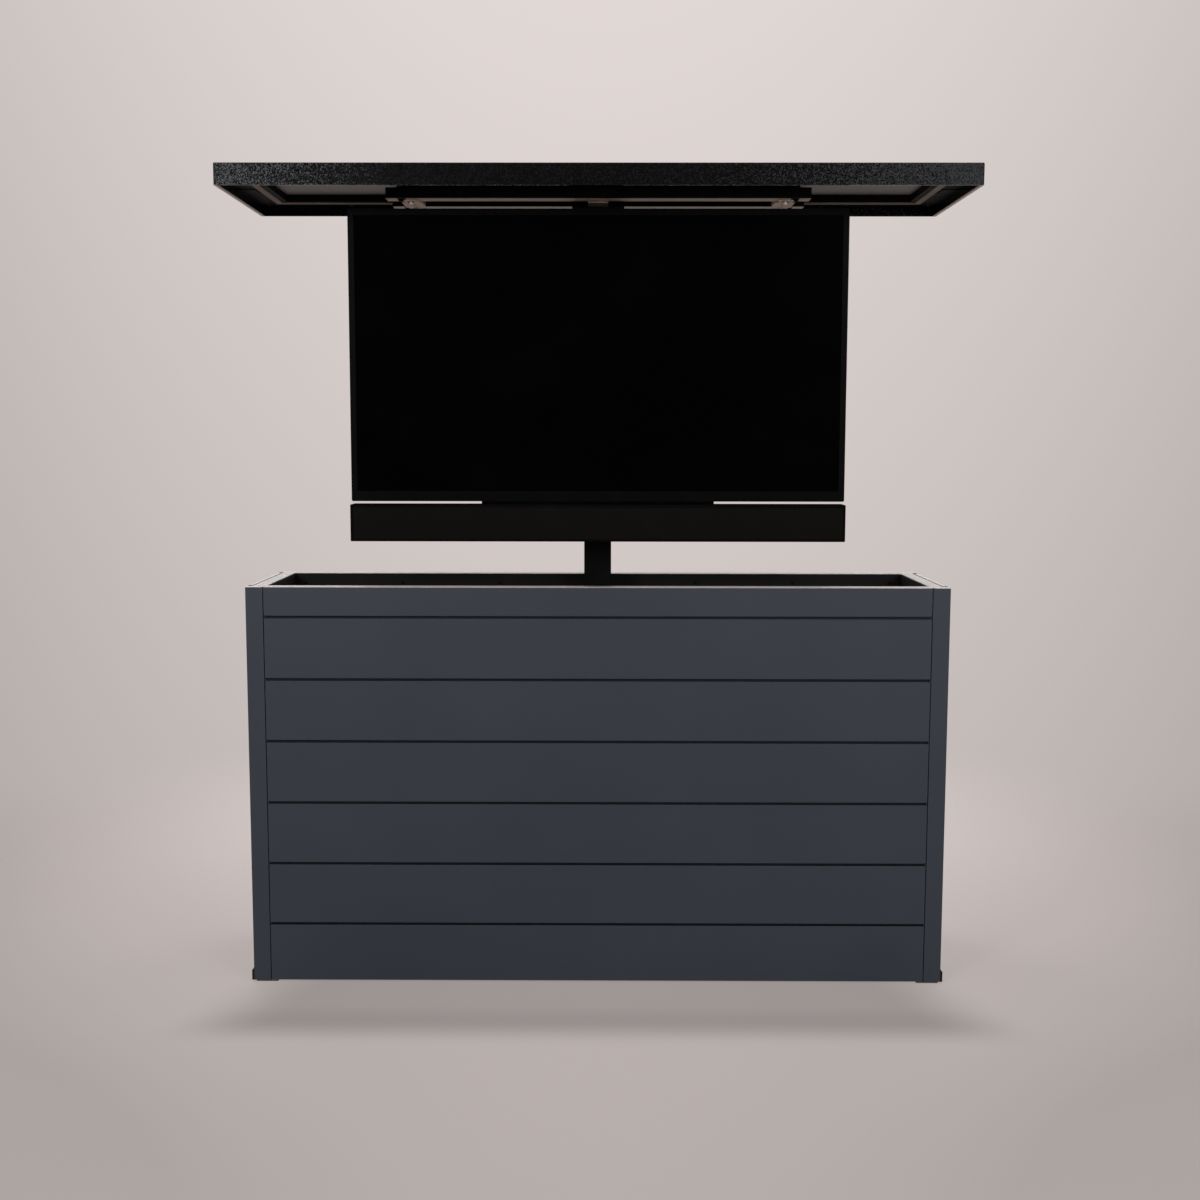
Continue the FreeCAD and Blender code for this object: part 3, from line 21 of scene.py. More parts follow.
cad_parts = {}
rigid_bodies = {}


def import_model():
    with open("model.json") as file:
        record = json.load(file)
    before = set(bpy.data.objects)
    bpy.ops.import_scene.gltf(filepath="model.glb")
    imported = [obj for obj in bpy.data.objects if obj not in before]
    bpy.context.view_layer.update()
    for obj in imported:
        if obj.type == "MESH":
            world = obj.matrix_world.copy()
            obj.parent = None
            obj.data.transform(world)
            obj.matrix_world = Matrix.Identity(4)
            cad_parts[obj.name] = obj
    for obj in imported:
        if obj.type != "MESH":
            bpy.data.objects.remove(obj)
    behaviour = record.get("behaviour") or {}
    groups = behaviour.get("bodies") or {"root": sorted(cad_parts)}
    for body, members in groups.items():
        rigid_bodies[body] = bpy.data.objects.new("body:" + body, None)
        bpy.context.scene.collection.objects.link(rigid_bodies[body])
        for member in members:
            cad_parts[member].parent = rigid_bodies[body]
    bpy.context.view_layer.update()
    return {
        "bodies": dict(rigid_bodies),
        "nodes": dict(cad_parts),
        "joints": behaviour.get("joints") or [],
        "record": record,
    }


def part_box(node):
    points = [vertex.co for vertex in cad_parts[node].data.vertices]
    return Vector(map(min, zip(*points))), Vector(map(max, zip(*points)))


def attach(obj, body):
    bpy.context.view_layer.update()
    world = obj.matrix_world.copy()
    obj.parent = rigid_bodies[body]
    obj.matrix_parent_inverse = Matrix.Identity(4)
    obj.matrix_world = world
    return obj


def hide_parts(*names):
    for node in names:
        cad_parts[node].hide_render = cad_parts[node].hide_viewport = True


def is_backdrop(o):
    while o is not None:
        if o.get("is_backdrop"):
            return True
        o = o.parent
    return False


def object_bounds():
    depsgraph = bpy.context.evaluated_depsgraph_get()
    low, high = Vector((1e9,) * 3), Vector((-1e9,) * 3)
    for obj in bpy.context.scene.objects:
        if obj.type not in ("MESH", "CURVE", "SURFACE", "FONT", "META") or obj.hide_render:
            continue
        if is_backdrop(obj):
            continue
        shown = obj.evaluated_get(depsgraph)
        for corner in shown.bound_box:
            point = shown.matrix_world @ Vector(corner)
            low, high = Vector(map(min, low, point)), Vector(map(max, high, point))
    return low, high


LOG = logging.getLogger("lift_cabinet")
Pair = tuple[float, float]
Triple = tuple[float, float, float]
Material = bpy.types.Material
Object = bpy.types.Object
UP: Triple = (0.0, 0.0, 1.0)
DOWN: Triple = (0.0, 0.0, -1.0)
FRONT: Triple = (0.0, -1.0, 0.0)
BACK: Triple = (0.0, 1.0, 0.0)
EVEN: Triple = (1.0, 1.0, 1.0)
CREASE_DEGREES = 32.0
EDGE_PROFILE = 0.6
SENSOR_WIDTH = 36.0
FAR_CLIP = 100.0
TWO_TONES: Pair = (0.3, 0.7)


# ---------------------------------------------------------------- node trees
class Wire:
    """An output socket. Arithmetic on it adds Math nodes to its tree."""

    def __init__(self, tree: "Tree", socket: bpy.types.NodeSocket) -> None:
        """Keeps the socket with the tree that it belongs to."""
        self.tree = tree
        self.socket = socket

    def maths(self, operation: str, *others: "Wire | float") -> "Wire":
        """Adds a Math node whose first input is this value."""
        return self.tree.node("ShaderNodeMath", {"operation": operation}, dict(enumerate((self, *others))))

    def __add__(self, other: "Wire | float") -> "Wire":
        """Sum."""
        return self.maths("ADD", other)

    __radd__ = __add__

    def __sub__(self, other: "Wire | float") -> "Wire":
        """Difference."""
        return self.maths("SUBTRACT", other)

    def __rsub__(self, other: float) -> "Wire":
        """Difference from a number."""
        return self.maths("MULTIPLY_ADD", -1.0, other)

    def __mul__(self, other: "Wire | float") -> "Wire":
        """Product."""
        return self.maths("MULTIPLY", other)

    __rmul__ = __mul__

    def above(self, low: float, high: float) -> "Wire":
        """Rises smoothly from 0 at low to 1 at high."""
        settings = {"interpolation_type": "SMOOTHSTEP"}
        return self.tree.node("ShaderNodeMapRange", settings, {0: self, 1: low, 2: high})

    def past(self, start: float, edge: Pair) -> "Wire":
        """Rises smoothly from 0 to 1 between two distances from start."""
        return self.above(start + edge[0], start + edge[1])

    def larger(self, other: "Wire | float") -> "Wire":
        """The larger of the two."""
        return self.maths("MAXIMUM", other)

    def clamped(self, low: float, high: float) -> "Wire":
        """The value, kept between two limits."""
        return self.larger(low).maths("MINIMUM", high)

    def absolute(self) -> "Wire":
        """The value without its sign."""
        return self.maths("ABSOLUTE")


class Tree:
    """A shader or geometry tree that is filled node by node."""

    def __init__(self, nodes: bpy.types.NodeTree) -> None:
        """Starts on an emptied tree."""
        self.tree = nodes
        self.tree.nodes.clear()

    def node(self, kind: str, settings: dict | None = None, inputs: dict | None = None,
             output: int | str = 0) -> Wire:
        """Adds a node.

        Args:
            kind: Blender's name of the node type.
            settings: the node's own properties; "stops" gives a ramp's positions and colours.
            inputs: values or wires by socket name or index.
            output: name or index of the output to hand back.

        Returns:
            That output.
        """
        made = self.tree.nodes.new(kind)
        settings = dict(settings or {})
        stops = settings.pop("stops", None)
        for key, value in settings.items():
            setattr(made, key, value)
        if stops:
            self._fill_ramp(made.color_ramp, stops)
        for key, value in (inputs or {}).items():
            self._feed(made.inputs[key], value)
        return Wire(self, made.outputs[output] if len(made.outputs) else None)

    @staticmethod
    def _fill_ramp(ramp: bpy.types.ColorRamp, stops: Sequence[tuple[float, Triple]]) -> None:
        """Sets the stops of a colour ramp."""
        while len(ramp.elements) < len(stops):
            ramp.elements.new(1.0)
        for element, (position, colour) in zip(ramp.elements, stops):
            element.position = position
            element.color = (*colour, 1.0)

    def _feed(self, socket: bpy.types.NodeSocket, value: object) -> None:
        """Links a wire to a socket, or sets its value."""
        if isinstance(value, Wire):
            self.tree.links.new(value.socket, socket)
        elif socket.type == "RGBA" and len(value) == 3:
            socket.default_value = (*value, 1.0)
        else:
            socket.default_value = value

    def vector(self, operation: str, inputs: dict, output: int | str = 0) -> Wire:
        """Adds a Vector Math node."""
        return self.node("ShaderNodeVectorMath", {"operation": operation}, inputs, output)

    def component(self, vector: Wire, index: int) -> Wire:
        """One coordinate of a vector."""
        return self.node("ShaderNodeSeparateXYZ", {}, {0: vector}, index)

    def mixed(self, share: Wire, first: Wire, second: Wire) -> Wire:
        """Mixes two shaders, the second where share is 1."""
        return self.node("ShaderNodeMixShader", {}, {0: share, 1: first, 2: second})


class Paint(Tree):
    """The shader tree of one material."""

    def __init__(self, name: str) -> None:
        """Makes an empty material."""
        self.material = bpy.data.materials.new(name)
        self.material.use_nodes = True
        super().__init__(self.material.node_tree)
        self.object_place = self.node("ShaderNodeTexCoord", output="Object")

    def axis(self, index: int) -> Wire:
        """One coordinate of the point on the piece."""
        return self.component(self.object_place, index)

    def place(self, stretch: Triple) -> Wire:
        """The point on the piece in metres, scaled along each axis."""
        return self.node("ShaderNodeMapping", {}, {"Vector": self.object_place, "Scale": stretch})

    def noise(self, scale: float, detail: float = 2.0, stretch: Triple = EVEN) -> Wire:
        """Soft noise from 0 to 1.

        Args:
            scale: how many features there are in a metre.
            detail: number of finer octaves.
            stretch: scale along each axis, smaller where the noise is drawn out.

        Returns:
            The noise value.
        """
        values = {"Vector": self.place(stretch), "Scale": scale, "Detail": detail}
        return self.node("ShaderNodeTexNoise", {"noise_dimensions": "3D"}, values)

    def cells(self, scale: float) -> Wire:
        """A random colour for each cell of a cell pattern."""
        return self.node("ShaderNodeTexVoronoi", {}, {"Vector": self.object_place, "Scale": scale}, "Color")

    def tone(self, colour: Wire) -> Wire:
        """The red part of a colour."""
        return self.node("ShaderNodeSeparateColor", {}, {0: colour})

    def blend(self, share: Wire, first: Triple | Wire, second: Triple | Wire) -> Wire:
        """Mixes two colours, the second where share is 1."""
        return self.node("ShaderNodeMix", {"data_type": "RGBA"}, {0: share, 6: first, 7: second}, 2)

    def relief(self, height: Wire, depth: float) -> Wire:
        """A bump normal from a height in units of depth metres."""
        return self.node("ShaderNodeBump", {}, {"Height": height, "Distance": depth})

    def tilted(self, cells: Wire, tilt: float, normal: Wire) -> Wire:
        """Tilts a normal by a colour that is the same over each cell.

        Args:
            cells: a random colour for each cell.
            tilt: how far the cells lean, as a share of the normal's length.
            normal: the normal before it is tilted.

        Returns:
            The tilted normal.
        """
        lean = self.vector("SUBTRACT", {0: cells, 1: (0.5, 0.5, 0.5)})
        lean = self.vector("SCALE", {0: lean, "Scale": tilt})
        return self.vector("NORMALIZE", {0: self.vector("ADD", {0: normal, 1: lean})})

    def surface(self, colour: Triple | Wire, roughness: float | Wire, normal: Wire | None = None,
                **fixed: float) -> Material:
        """Ends the material in one Principled shader.

        Args:
            colour: base colour.
            roughness: roughness.
            normal: bump normal.
            **fixed: further values by socket name, with _ for a space.

        Returns:
            The finished material.
        """
        values: dict = {"Base Color": colour, "Roughness": roughness}
        if normal is not None:
            values["Normal"] = normal
        values.update({name.replace("_", " "): value for name, value in fixed.items()})
        shader = self.node("ShaderNodeBsdfPrincipled", {}, values)
        self.node("ShaderNodeOutputMaterial", {}, {"Surface": shader})
        return self.material


# ---------------------------------------------------------------- meshes
def around(radius: float, angle: float) -> Pair:
    """The point of a circle at an angle."""
    return radius * math.cos(angle), radius * math.sin(angle)


class Shape:
    """A mesh in the making, in metres."""

    def __init__(self) -> None:
        """Starts empty."""
        self.mesh = bmesh.new()

    def box(self, low: Iterable[float], high: Iterable[float], bevel: float = 0.0) -> "Shape":
        """Adds a box.

        Args:
            low: its lowest corner.
            high: its highest corner.
            bevel: width of the round along its edges.

        Returns:
            This shape.
        """
        low, high = Vector(low), Vector(high)
        place = Matrix.Translation((low + high) / 2) @ Matrix.Diagonal((*(high - low), 1.0))
        made = bmesh.ops.create_cube(self.mesh, size=1.0, matrix=place)
        if bevel:
            edges = list({edge for vert in made["verts"] for edge in vert.link_edges})
            bmesh.ops.bevel(self.mesh, geom=edges, offset=bevel, segments=2, profile=EDGE_PROFILE,
                            affect="EDGES")
        return self

    def turned(self, profile: Sequence[Pair], sides: int, place: Matrix | None = None) -> "Shape":
        """Adds a turned solid about Z, or a bar of few sides.

        Args:
            profile: radius and height of each step, from the foot up.
            sides: number of faces round the axis.
            place: where the axis stands.

        Returns:
            This shape.
        """
        place = place or Matrix()
        rings = []
        for radius, height in profile:
            steps = sides if radius else 1
            points = [(*around(radius, math.tau * step / steps), height) for step in range(steps)]
            rings.append([self.mesh.verts.new(place @ Vector(point)) for point in points])
        for lower, upper in zip(rings, rings[1:]):
            self.bridge(lower, upper)
        for ring, order in ((rings[0], -1), (rings[-1], 1)):
            if len(ring) > 1:
                self.mesh.faces.new(ring[::order])
        return self

    def bridge(self, lower: list[bmesh.types.BMVert], upper: list[bmesh.types.BMVert]) -> None:
        """Joins two rings with faces.

        Args:
            lower: points of the first ring, or a single point.
            upper: points of the second ring, or a single point.
        """
        count = max(len(lower), len(upper))
        for step in range(count):
            following = (step + 1) % count
            corners = [lower[step % len(lower)], lower[following % len(lower)],
                       upper[following % len(upper)], upper[step % len(upper)]]
            self.mesh.faces.new(list(dict.fromkeys(corners)))

    def loops(self, outlines: Sequence[Sequence[Triple]]) -> "Shape":
        """Skins outlines of equal length one after the other, and the last one to the first.

        Args:
            outlines: closed outlines, each a list of points.

        Returns:
            This shape.
        """
        rings = [[self.mesh.verts.new(point) for point in outline] for outline in outlines]
        for lower, upper in zip(rings, rings[1:] + rings[:1]):
            self.bridge(lower, upper)
        return self

    def collar(self, low: Pair, high: Pair, steps: Iterable[Pair]) -> "Shape":
        """Adds a closed rectangular ring round the Y axis.

        Args:
            low: lowest x and z of its outside.
            high: highest x and z of its outside.
            steps: inset and y of each edge, once round the ring's section.

        Returns:
            This shape.
        """
        return self.loops([[(low[0] + inset, y, low[1] + inset), (high[0] - inset, y, low[1] + inset),
                            (high[0] - inset, y, high[1] - inset), (low[0] + inset, y, high[1] - inset)]
                           for inset, y in steps])

    def finished(self, name: str, material: Material | None = None, outwards: bool = True) -> Object:
        """Turns the shape into an object at the origin.

        Args:
            name: name of the piece.
            material: its finish.
            outwards: True where the shape is closed and its normals are set outwards.

        Returns:
            The object.
        """
        if outwards:
            bmesh.ops.recalc_face_normals(self.mesh, faces=self.mesh.faces)
        mesh = bpy.data.meshes.new(name)
        self.mesh.to_mesh(mesh)
        self.mesh.free()
        return mesh_object(name, mesh, material)


def linked(name: str, data: bpy.types.ID) -> Object:
    """A new object of the scene with this data, at the origin."""
    made = bpy.data.objects.new(name, data)
    bpy.context.scene.collection.objects.link(made)
    return made


def mesh_object(name: str, mesh: bpy.types.Mesh, material: Material | None) -> Object:
    """Turns a mesh into a piece with smooth faces and sharp edges.

    Args:
        name: name of the piece.
        mesh: its mesh.
        material: its finish.

    Returns:
        The object.
    """
    mesh.name = name
    mesh.materials.clear()
    if material:
        mesh.materials.append(material)
    mesh.polygons.foreach_set("use_smooth", [True] * len(mesh.polygons))
    mesh.set_sharp_from_angle(angle=math.radians(CREASE_DEGREES))
    return linked(name, mesh)


@dataclass(frozen=True)
class Spot:
    """Where one copy of a part stands, and where its own Z axis points."""

    point: Triple
    towards: Triple = UP

    def turn(self) -> Triple:
        """Euler angles that point Z along towards."""
        return tuple(Vector(self.towards).to_track_quat("Z", "Y").to_euler())


class Former(Tree):
    """A geometry tree with named inputs, run once to give a plain mesh."""

    def __init__(self, name: str, **inputs: str) -> None:
        """Makes the tree.

        Args:
            name: name of the tree.
            **inputs: kind of socket by name.
        """
        group = bpy.data.node_groups.new(name, "GeometryNodeTree")
        super().__init__(group)
        for side in ("OUTPUT", "INPUT"):
            group.interface.new_socket("Geometry", in_out=side, socket_type="NodeSocketGeometry")
        self.keys = {}
        for title, kind in inputs.items():
            socket = group.interface.new_socket(title, in_out="INPUT", socket_type=kind)
            self.keys[title] = socket.identifier
        self.entry = self.tree.nodes.new("NodeGroupInput")

    def given(self, title: str) -> Wire:
        """One of the tree's inputs."""
        return Wire(self, self.entry.outputs[title])

    def end(self, geometry: Wire) -> None:
        """Realizes, paints and hands out the geometry."""
        solid = self.node("GeometryNodeRealizeInstances", {}, {0: geometry})
        painted = self.node("GeometryNodeSetMaterial", {},
                            {"Geometry": solid, "Material": self.given("Finish")})
        self.node("NodeGroupOutput", {}, {0: painted})

    def run(self, name: str, host: bpy.types.Mesh, **values: object) -> Object:
        """Runs the tree on a mesh.

        Args:
            name: name of the piece.
            host: the mesh that the tree starts from.
            **values: value of each input.

        Returns:
            A plain object with the result.
        """
        carrier = linked(name + "_carrier", host)
        modifier = carrier.modifiers.new("form", "NODES")
        modifier.node_group = self.tree
        for title, value in values.items():
            modifier[self.keys[title]] = value
        graph = bpy.context.evaluated_depsgraph_get()
        mesh = bpy.data.meshes.new_from_object(carrier.evaluated_get(graph), depsgraph=graph)
        carrier.modifiers.remove(modifier)
        bpy.data.objects.remove(carrier)
        return mesh_object(name, mesh, values["Finish"])


class Repeater(Former):
    """Sets copies of a small part on marked spots and makes one mesh of them."""

    def __init__(self) -> None:
        """Builds the tree."""
        super().__init__("repeater", Part="NodeSocketObject", Finish="NodeSocketMaterial")
        part = self.node("GeometryNodeObjectInfo", {}, {"Object": self.given("Part")}, "Geometry")
        turn = self.node("GeometryNodeInputNamedAttribute", {"data_type": "FLOAT_VECTOR"}, {"Name": "turn"})
        rotation = self.node("FunctionNodeEulerToRotation", {}, {0: turn})
        points = self.node("GeometryNodeMeshToPoints", {}, {"Mesh": self.given("Geometry")})
        copies = self.node("GeometryNodeInstanceOnPoints", {},
                           {"Points": points, "Instance": part, "Rotation": rotation}, "Instances")
        self.end(copies)

    def make(self, name: str, part: Shape, spots: Iterable[Spot], material: Material,
             outwards: bool) -> Object:
        """Sets the copies.

        Args:
            name: name of the piece.
            part: the small part, standing on the origin along Z.
            spots: where the copies stand.
            material: finish of the piece.
            outwards: True where the part is closed.

        Returns:
            The piece.
        """
        spots = list(spots)
        host = bpy.data.meshes.new(name + "_spots")
        host.from_pydata([spot.point for spot in spots], [], [])
        turns = host.attributes.new("turn", "FLOAT_VECTOR", "POINT")
        turns.data.foreach_set("vector", [angle for spot in spots for angle in spot.turn()])
        unit = part.finished(name + "_part", outwards=outwards)
        made = self.run(name, host, Part=unit, Finish=material)
        bpy.data.objects.remove(unit)
        return made


class Threader(Former):
    """Forms a screw with a trapezoid thread of several starts.

    Its height runs over Y of a sheet, and the sheet's X goes once round the screw.
    """

    POINTS_ROUND = 24
    POINTS_ALONG = 850
    FLANK = (0.38, 0.62)
    CLOSED_ENDS = 0.4999
    SEAM = 0.00001

    def __init__(self) -> None:
        """Builds the tree."""
        sizes = dict.fromkeys(("Radius", "Depth", "Lead", "Starts", "Length", "Foot", "Axis_Y"),
                              "NodeSocketFloat")
        super().__init__("threader", **sizes, Finish="NodeSocketMaterial")
        sheet = self.node("GeometryNodeMeshGrid", {},
                          {"Size X": 1.0, "Size Y": 1.0, "Vertices X": self.POINTS_ROUND + 1,
                           "Vertices Y": self.POINTS_ALONG}, "Mesh")
        position = self.node("GeometryNodeInputPosition")
        across = self.component(position, 0) + 0.5
        share = self.component(position, 1) + 0.5
        height = share * self.given("Length")
        turns = height.maths("DIVIDE", self.given("Lead")) - across
        phase = (turns * self.given("Starts")).maths("FRACT")
        flank = ((phase - 0.5).absolute() * 2.0).above(*self.FLANK)
        inside = share.maths("COMPARE", 0.5, self.CLOSED_ENDS)
        radius = (self.given("Radius") - flank * self.given("Depth")) * inside
        angle = across * math.tau
        spot = self.node("ShaderNodeCombineXYZ", {},
                         {0: radius * angle.maths("COSINE"),
                          1: radius * angle.maths("SINE") + self.given("Axis_Y"),
                          2: height + self.given("Foot")})
        formed = self.node("GeometryNodeSetPosition", {}, {"Geometry": sheet, "Position": spot})
        self.end(self.node("GeometryNodeMergeByDistance", {}, {"Geometry": formed, "Distance": self.SEAM}))


# ---------------------------------------------------------------- finishes
class Grain(Enum):
    """Direction in which a board or a brushed tube runs."""

    ALONG_X = (0.02, 1.0, 1.0)
    ALONG_Y = (1.0, 0.02, 1.0)
    ALONG_Z = (1.0, 1.0, 0.02)


class Face(Enum):
    """Axis across a clad face, a node of its planks and the width of painted shade along its inner top edge;
    a post has none.
    """

    LONG = (1, "front_planks", 0.0004)
    END = (0, "left_planks", 0.0050)
    POST = None


@dataclass(frozen=True)
class CappedBoard:
    """Slate-blue capping of a cladding board, with a fine drawn grain, pale sawn tops and painted shade in
    its grooves and along its inner top edge.
    """

    colour: Triple = (0.0232, 0.0279, 0.0350)
    shade: Triple = (0.0206, 0.0249, 0.0313)
    groove_shade: Triple = (0.0016, 0.0026, 0.0050)
    sawn: Triple = (0.540, 0.496, 0.474)
    scorched: Triple = (0.120, 0.066, 0.040)
    rim: float = 0.9940
    cut_edge: Pair = (-0.0004, -0.0001)
    scorched_edge: Pair = (-0.0022, -0.0012)
    scorched_share: float = 0.7
    groove_shade_edge: Pair = (-0.0016, -0.0006)
    shaded_margin_edge: Pair = (0.0, 0.0003)
    grain_scale: float = 900.0
    grain_depth: float = 0.00005
    cloud_scale: float = 2.6
    roughness: float = 0.50

    def material(self, grain: Grain, face: Face) -> Material:
        """Builds the finish.

        Args:
            grain: direction of the board.
            face: the clad face that the board belongs to.

        Returns:
            The material.
        """
        paint = Paint(f"capped_board_{face.name.lower()}")
        lines = paint.noise(self.grain_scale, 3.0, grain.value)
        clouds = paint.noise(self.cloud_scale, 3.0)
        colour = paint.blend((clouds * 0.75 + lines * 0.25).above(*TWO_TONES), self.shade, self.colour)
        height = paint.axis(2)
        top = height.past(self.rim, self.cut_edge)
        if face.value:
            axis, node, margin = face.value
            inner, outer = sorted(abs(corner[axis]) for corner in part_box(node))
            depth = paint.axis(axis).absolute()
            # painted shade: faces set back from the outer face, the grooves and laps, are darkened
            colour = paint.blend(1.0 - depth.past(outer, self.groove_shade_edge), colour, self.groove_shade)
            # painted shade: the pale top is held back near the inner face, leaving a dark line at the gap
            top = top * depth.past(inner + margin, self.shaded_margin_edge)
        scorched = height.past(self.rim, self.scorched_edge) * self.scorched_share
        colour = paint.blend(scorched, colour, self.scorched)
        colour = paint.blend(top, colour, self.sawn)
        normal = paint.relief(lines, self.grain_depth)
        return paint.surface(colour, self.roughness + (clouds - 0.5) * 0.10, normal, Specular_IOR_Level=0.2)


@dataclass(frozen=True)
class StoneCoating:
    """Black coating of the lid, whose crystals lie at slightly different angles and glint."""

    ground: Triple = (0.0012, 0.0012, 0.0014)
    fleck: Triple = (0.0060, 0.0062, 0.0070)
    bare_foot: Triple = (0.300, 0.240, 0.212)
    crystal_scale: float = 440.0
    crystal_tilt: float = 0.17
    grit_scale: float = 900.0
    grit_depth: float = 0.00002
    fleck_span: Pair = (0.86, 1.02)
    skirt_foot: float = 1.9440
    foot_edge: Pair = (0.0002, 0.0005)
    skirt_end: float = 0.8965
    end_edge: Pair = (0.0, 0.0004)

    def material(self) -> Material:
        """Builds the finish."""
        paint = Paint("stone_coating")
        crystals = paint.cells(self.crystal_scale)
        grit = paint.noise(self.grit_scale)
        flecks = (paint.tone(crystals) + grit * 0.3).above(*self.fleck_span)
        colour = paint.blend(flecks, self.ground, self.fleck)
        foot = 1.0 - paint.axis(2).past(self.skirt_foot, self.foot_edge)
        ends = paint.axis(0).absolute().past(self.skirt_end, self.end_edge)
        colour = paint.blend(foot * ends, colour, self.bare_foot)
        normal = paint.tilted(crystals, self.crystal_tilt, paint.relief(grit, self.grit_depth))
        return paint.surface(colour, 0.12 + grit * 0.10, normal, Specular_IOR_Level=0.05)


@dataclass(frozen=True)
class BrushedMetal:
    """Bare or plated metal with drawn lines and soft patches."""

    name: str
    colour: Triple
    shade: Triple
    roughness: float = 0.40
    metallic: float = 1.0
    line_scale: float = 1400.0
    line_depth: float = 0.00003
    patch_scale: float = 38.0

    def material(self, grain: Grain) -> Material:
        """Builds the finish with its lines along one axis."""
        paint = Paint(f"{self.name}_{grain.name.lower()}")
        lines = paint.noise(self.line_scale, 2.0, grain.value)
        patches = paint.noise(self.patch_scale, 3.0)
        colour = paint.blend((patches * 0.7 + lines * 0.3).above(*TWO_TONES), self.shade, self.colour)
        normal = paint.relief(lines, self.line_depth)
        return paint.surface(colour, self.roughness + (patches - 0.5) * 0.16, normal, Metallic=self.metallic)


@dataclass(frozen=True)
class SpangledZinc:
    """Hot-dipped sheet steel, dull and mottled with crystals."""

    colour: Triple = (0.390, 0.280, 0.210)
    shade: Triple = (0.230, 0.160, 0.118)
    tone_span: Pair = (0.2, 0.85)
    spangle_scale: float = 150.0
    stain_scale: float = 24.0
    grit_scale: float = 900.0
    grit_depth: float = 0.00004

    def material(self) -> Material:
        """Builds the finish."""
        paint = Paint("spangled_zinc")
        tone = paint.tone(paint.cells(self.spangle_scale))
        share = (tone * 0.5 + paint.noise(self.stain_scale, 4.0) * 0.6).above(*self.tone_span)
        colour = paint.blend(share, self.shade, self.colour)
        normal = paint.relief(tone + paint.noise(self.grit_scale) * 0.5, self.grit_depth)
        return paint.surface(colour, 0.50 + tone * 0.15, normal, Metallic=0.15, Specular_IOR_Level=0.3)


@dataclass(frozen=True)
class GrainedCoat:
    """Opaque coat, moulding or rubber with a fine even grain and faint marks."""

    name: str
    colour: Triple
    mark: Triple
    roughness: float
    specular: float
    grain_scale: float = 1600.0
    grain_depth: float = 0.00008
    mark_scale: float = 14.0
    mark_span: Pair = (0.52, 0.74)

    def material(self) -> Material:
        """Builds the finish."""
        paint = Paint(self.name)
        grain = paint.noise(self.grain_scale)
        marks = paint.noise(self.mark_scale, 5.0)
        colour = paint.blend(marks.above(*self.mark_span), self.colour, self.mark)
        normal = paint.relief(grain, self.grain_depth)
        roughness = self.roughness + (marks - 0.5) * 0.2 + (grain - 0.5) * 0.1
        return paint.surface(colour, roughness, normal, Specular_IOR_Level=self.specular)


@dataclass(frozen=True)
class StainedBoard:
    """Black-stained sheet board whose strands still show."""

    colour: Triple = (0.012, 0.0100, 0.0085)
    strand: Triple = (0.028, 0.022, 0.017)
    strand_scale: float = 60.0
    strand_stretch: Triple = (0.25, 1.0, 1.0)
    strand_span: Pair = (0.45, 0.75)
    pore_scale: float = 700.0
    depth: float = 0.0002

    def material(self) -> Material:
        """Builds the finish."""
        paint = Paint("stained_board")
        strands = paint.noise(self.strand_scale, 4.0, self.strand_stretch)
        colour = paint.blend(strands.above(*self.strand_span), self.colour, self.strand)
        normal = paint.relief(strands + paint.noise(self.pore_scale) * 0.4, self.depth)
        return paint.surface(colour, 0.62 + strands * 0.2, normal, Specular_IOR_Level=0.15)


@dataclass(frozen=True)
class ScreenGlass:
    """Switched-off screen with a coating that hardly mirrors."""

    colour: Triple = (0.0003, 0.0003, 0.0004)
    haze_scale: float = 5.0
    haze_span: Pair = (0.4, 0.8)

    def material(self) -> Material:
        """Builds the finish."""
        paint = Paint("screen_glass")
        haze = paint.noise(self.haze_scale, 3.0)
        hazy = tuple(2 * part for part in self.colour)
        colour = paint.blend(haze.above(*self.haze_span), self.colour, hazy)
        return paint.surface(colour, 0.10 + haze * 0.06, IOR=1.05)


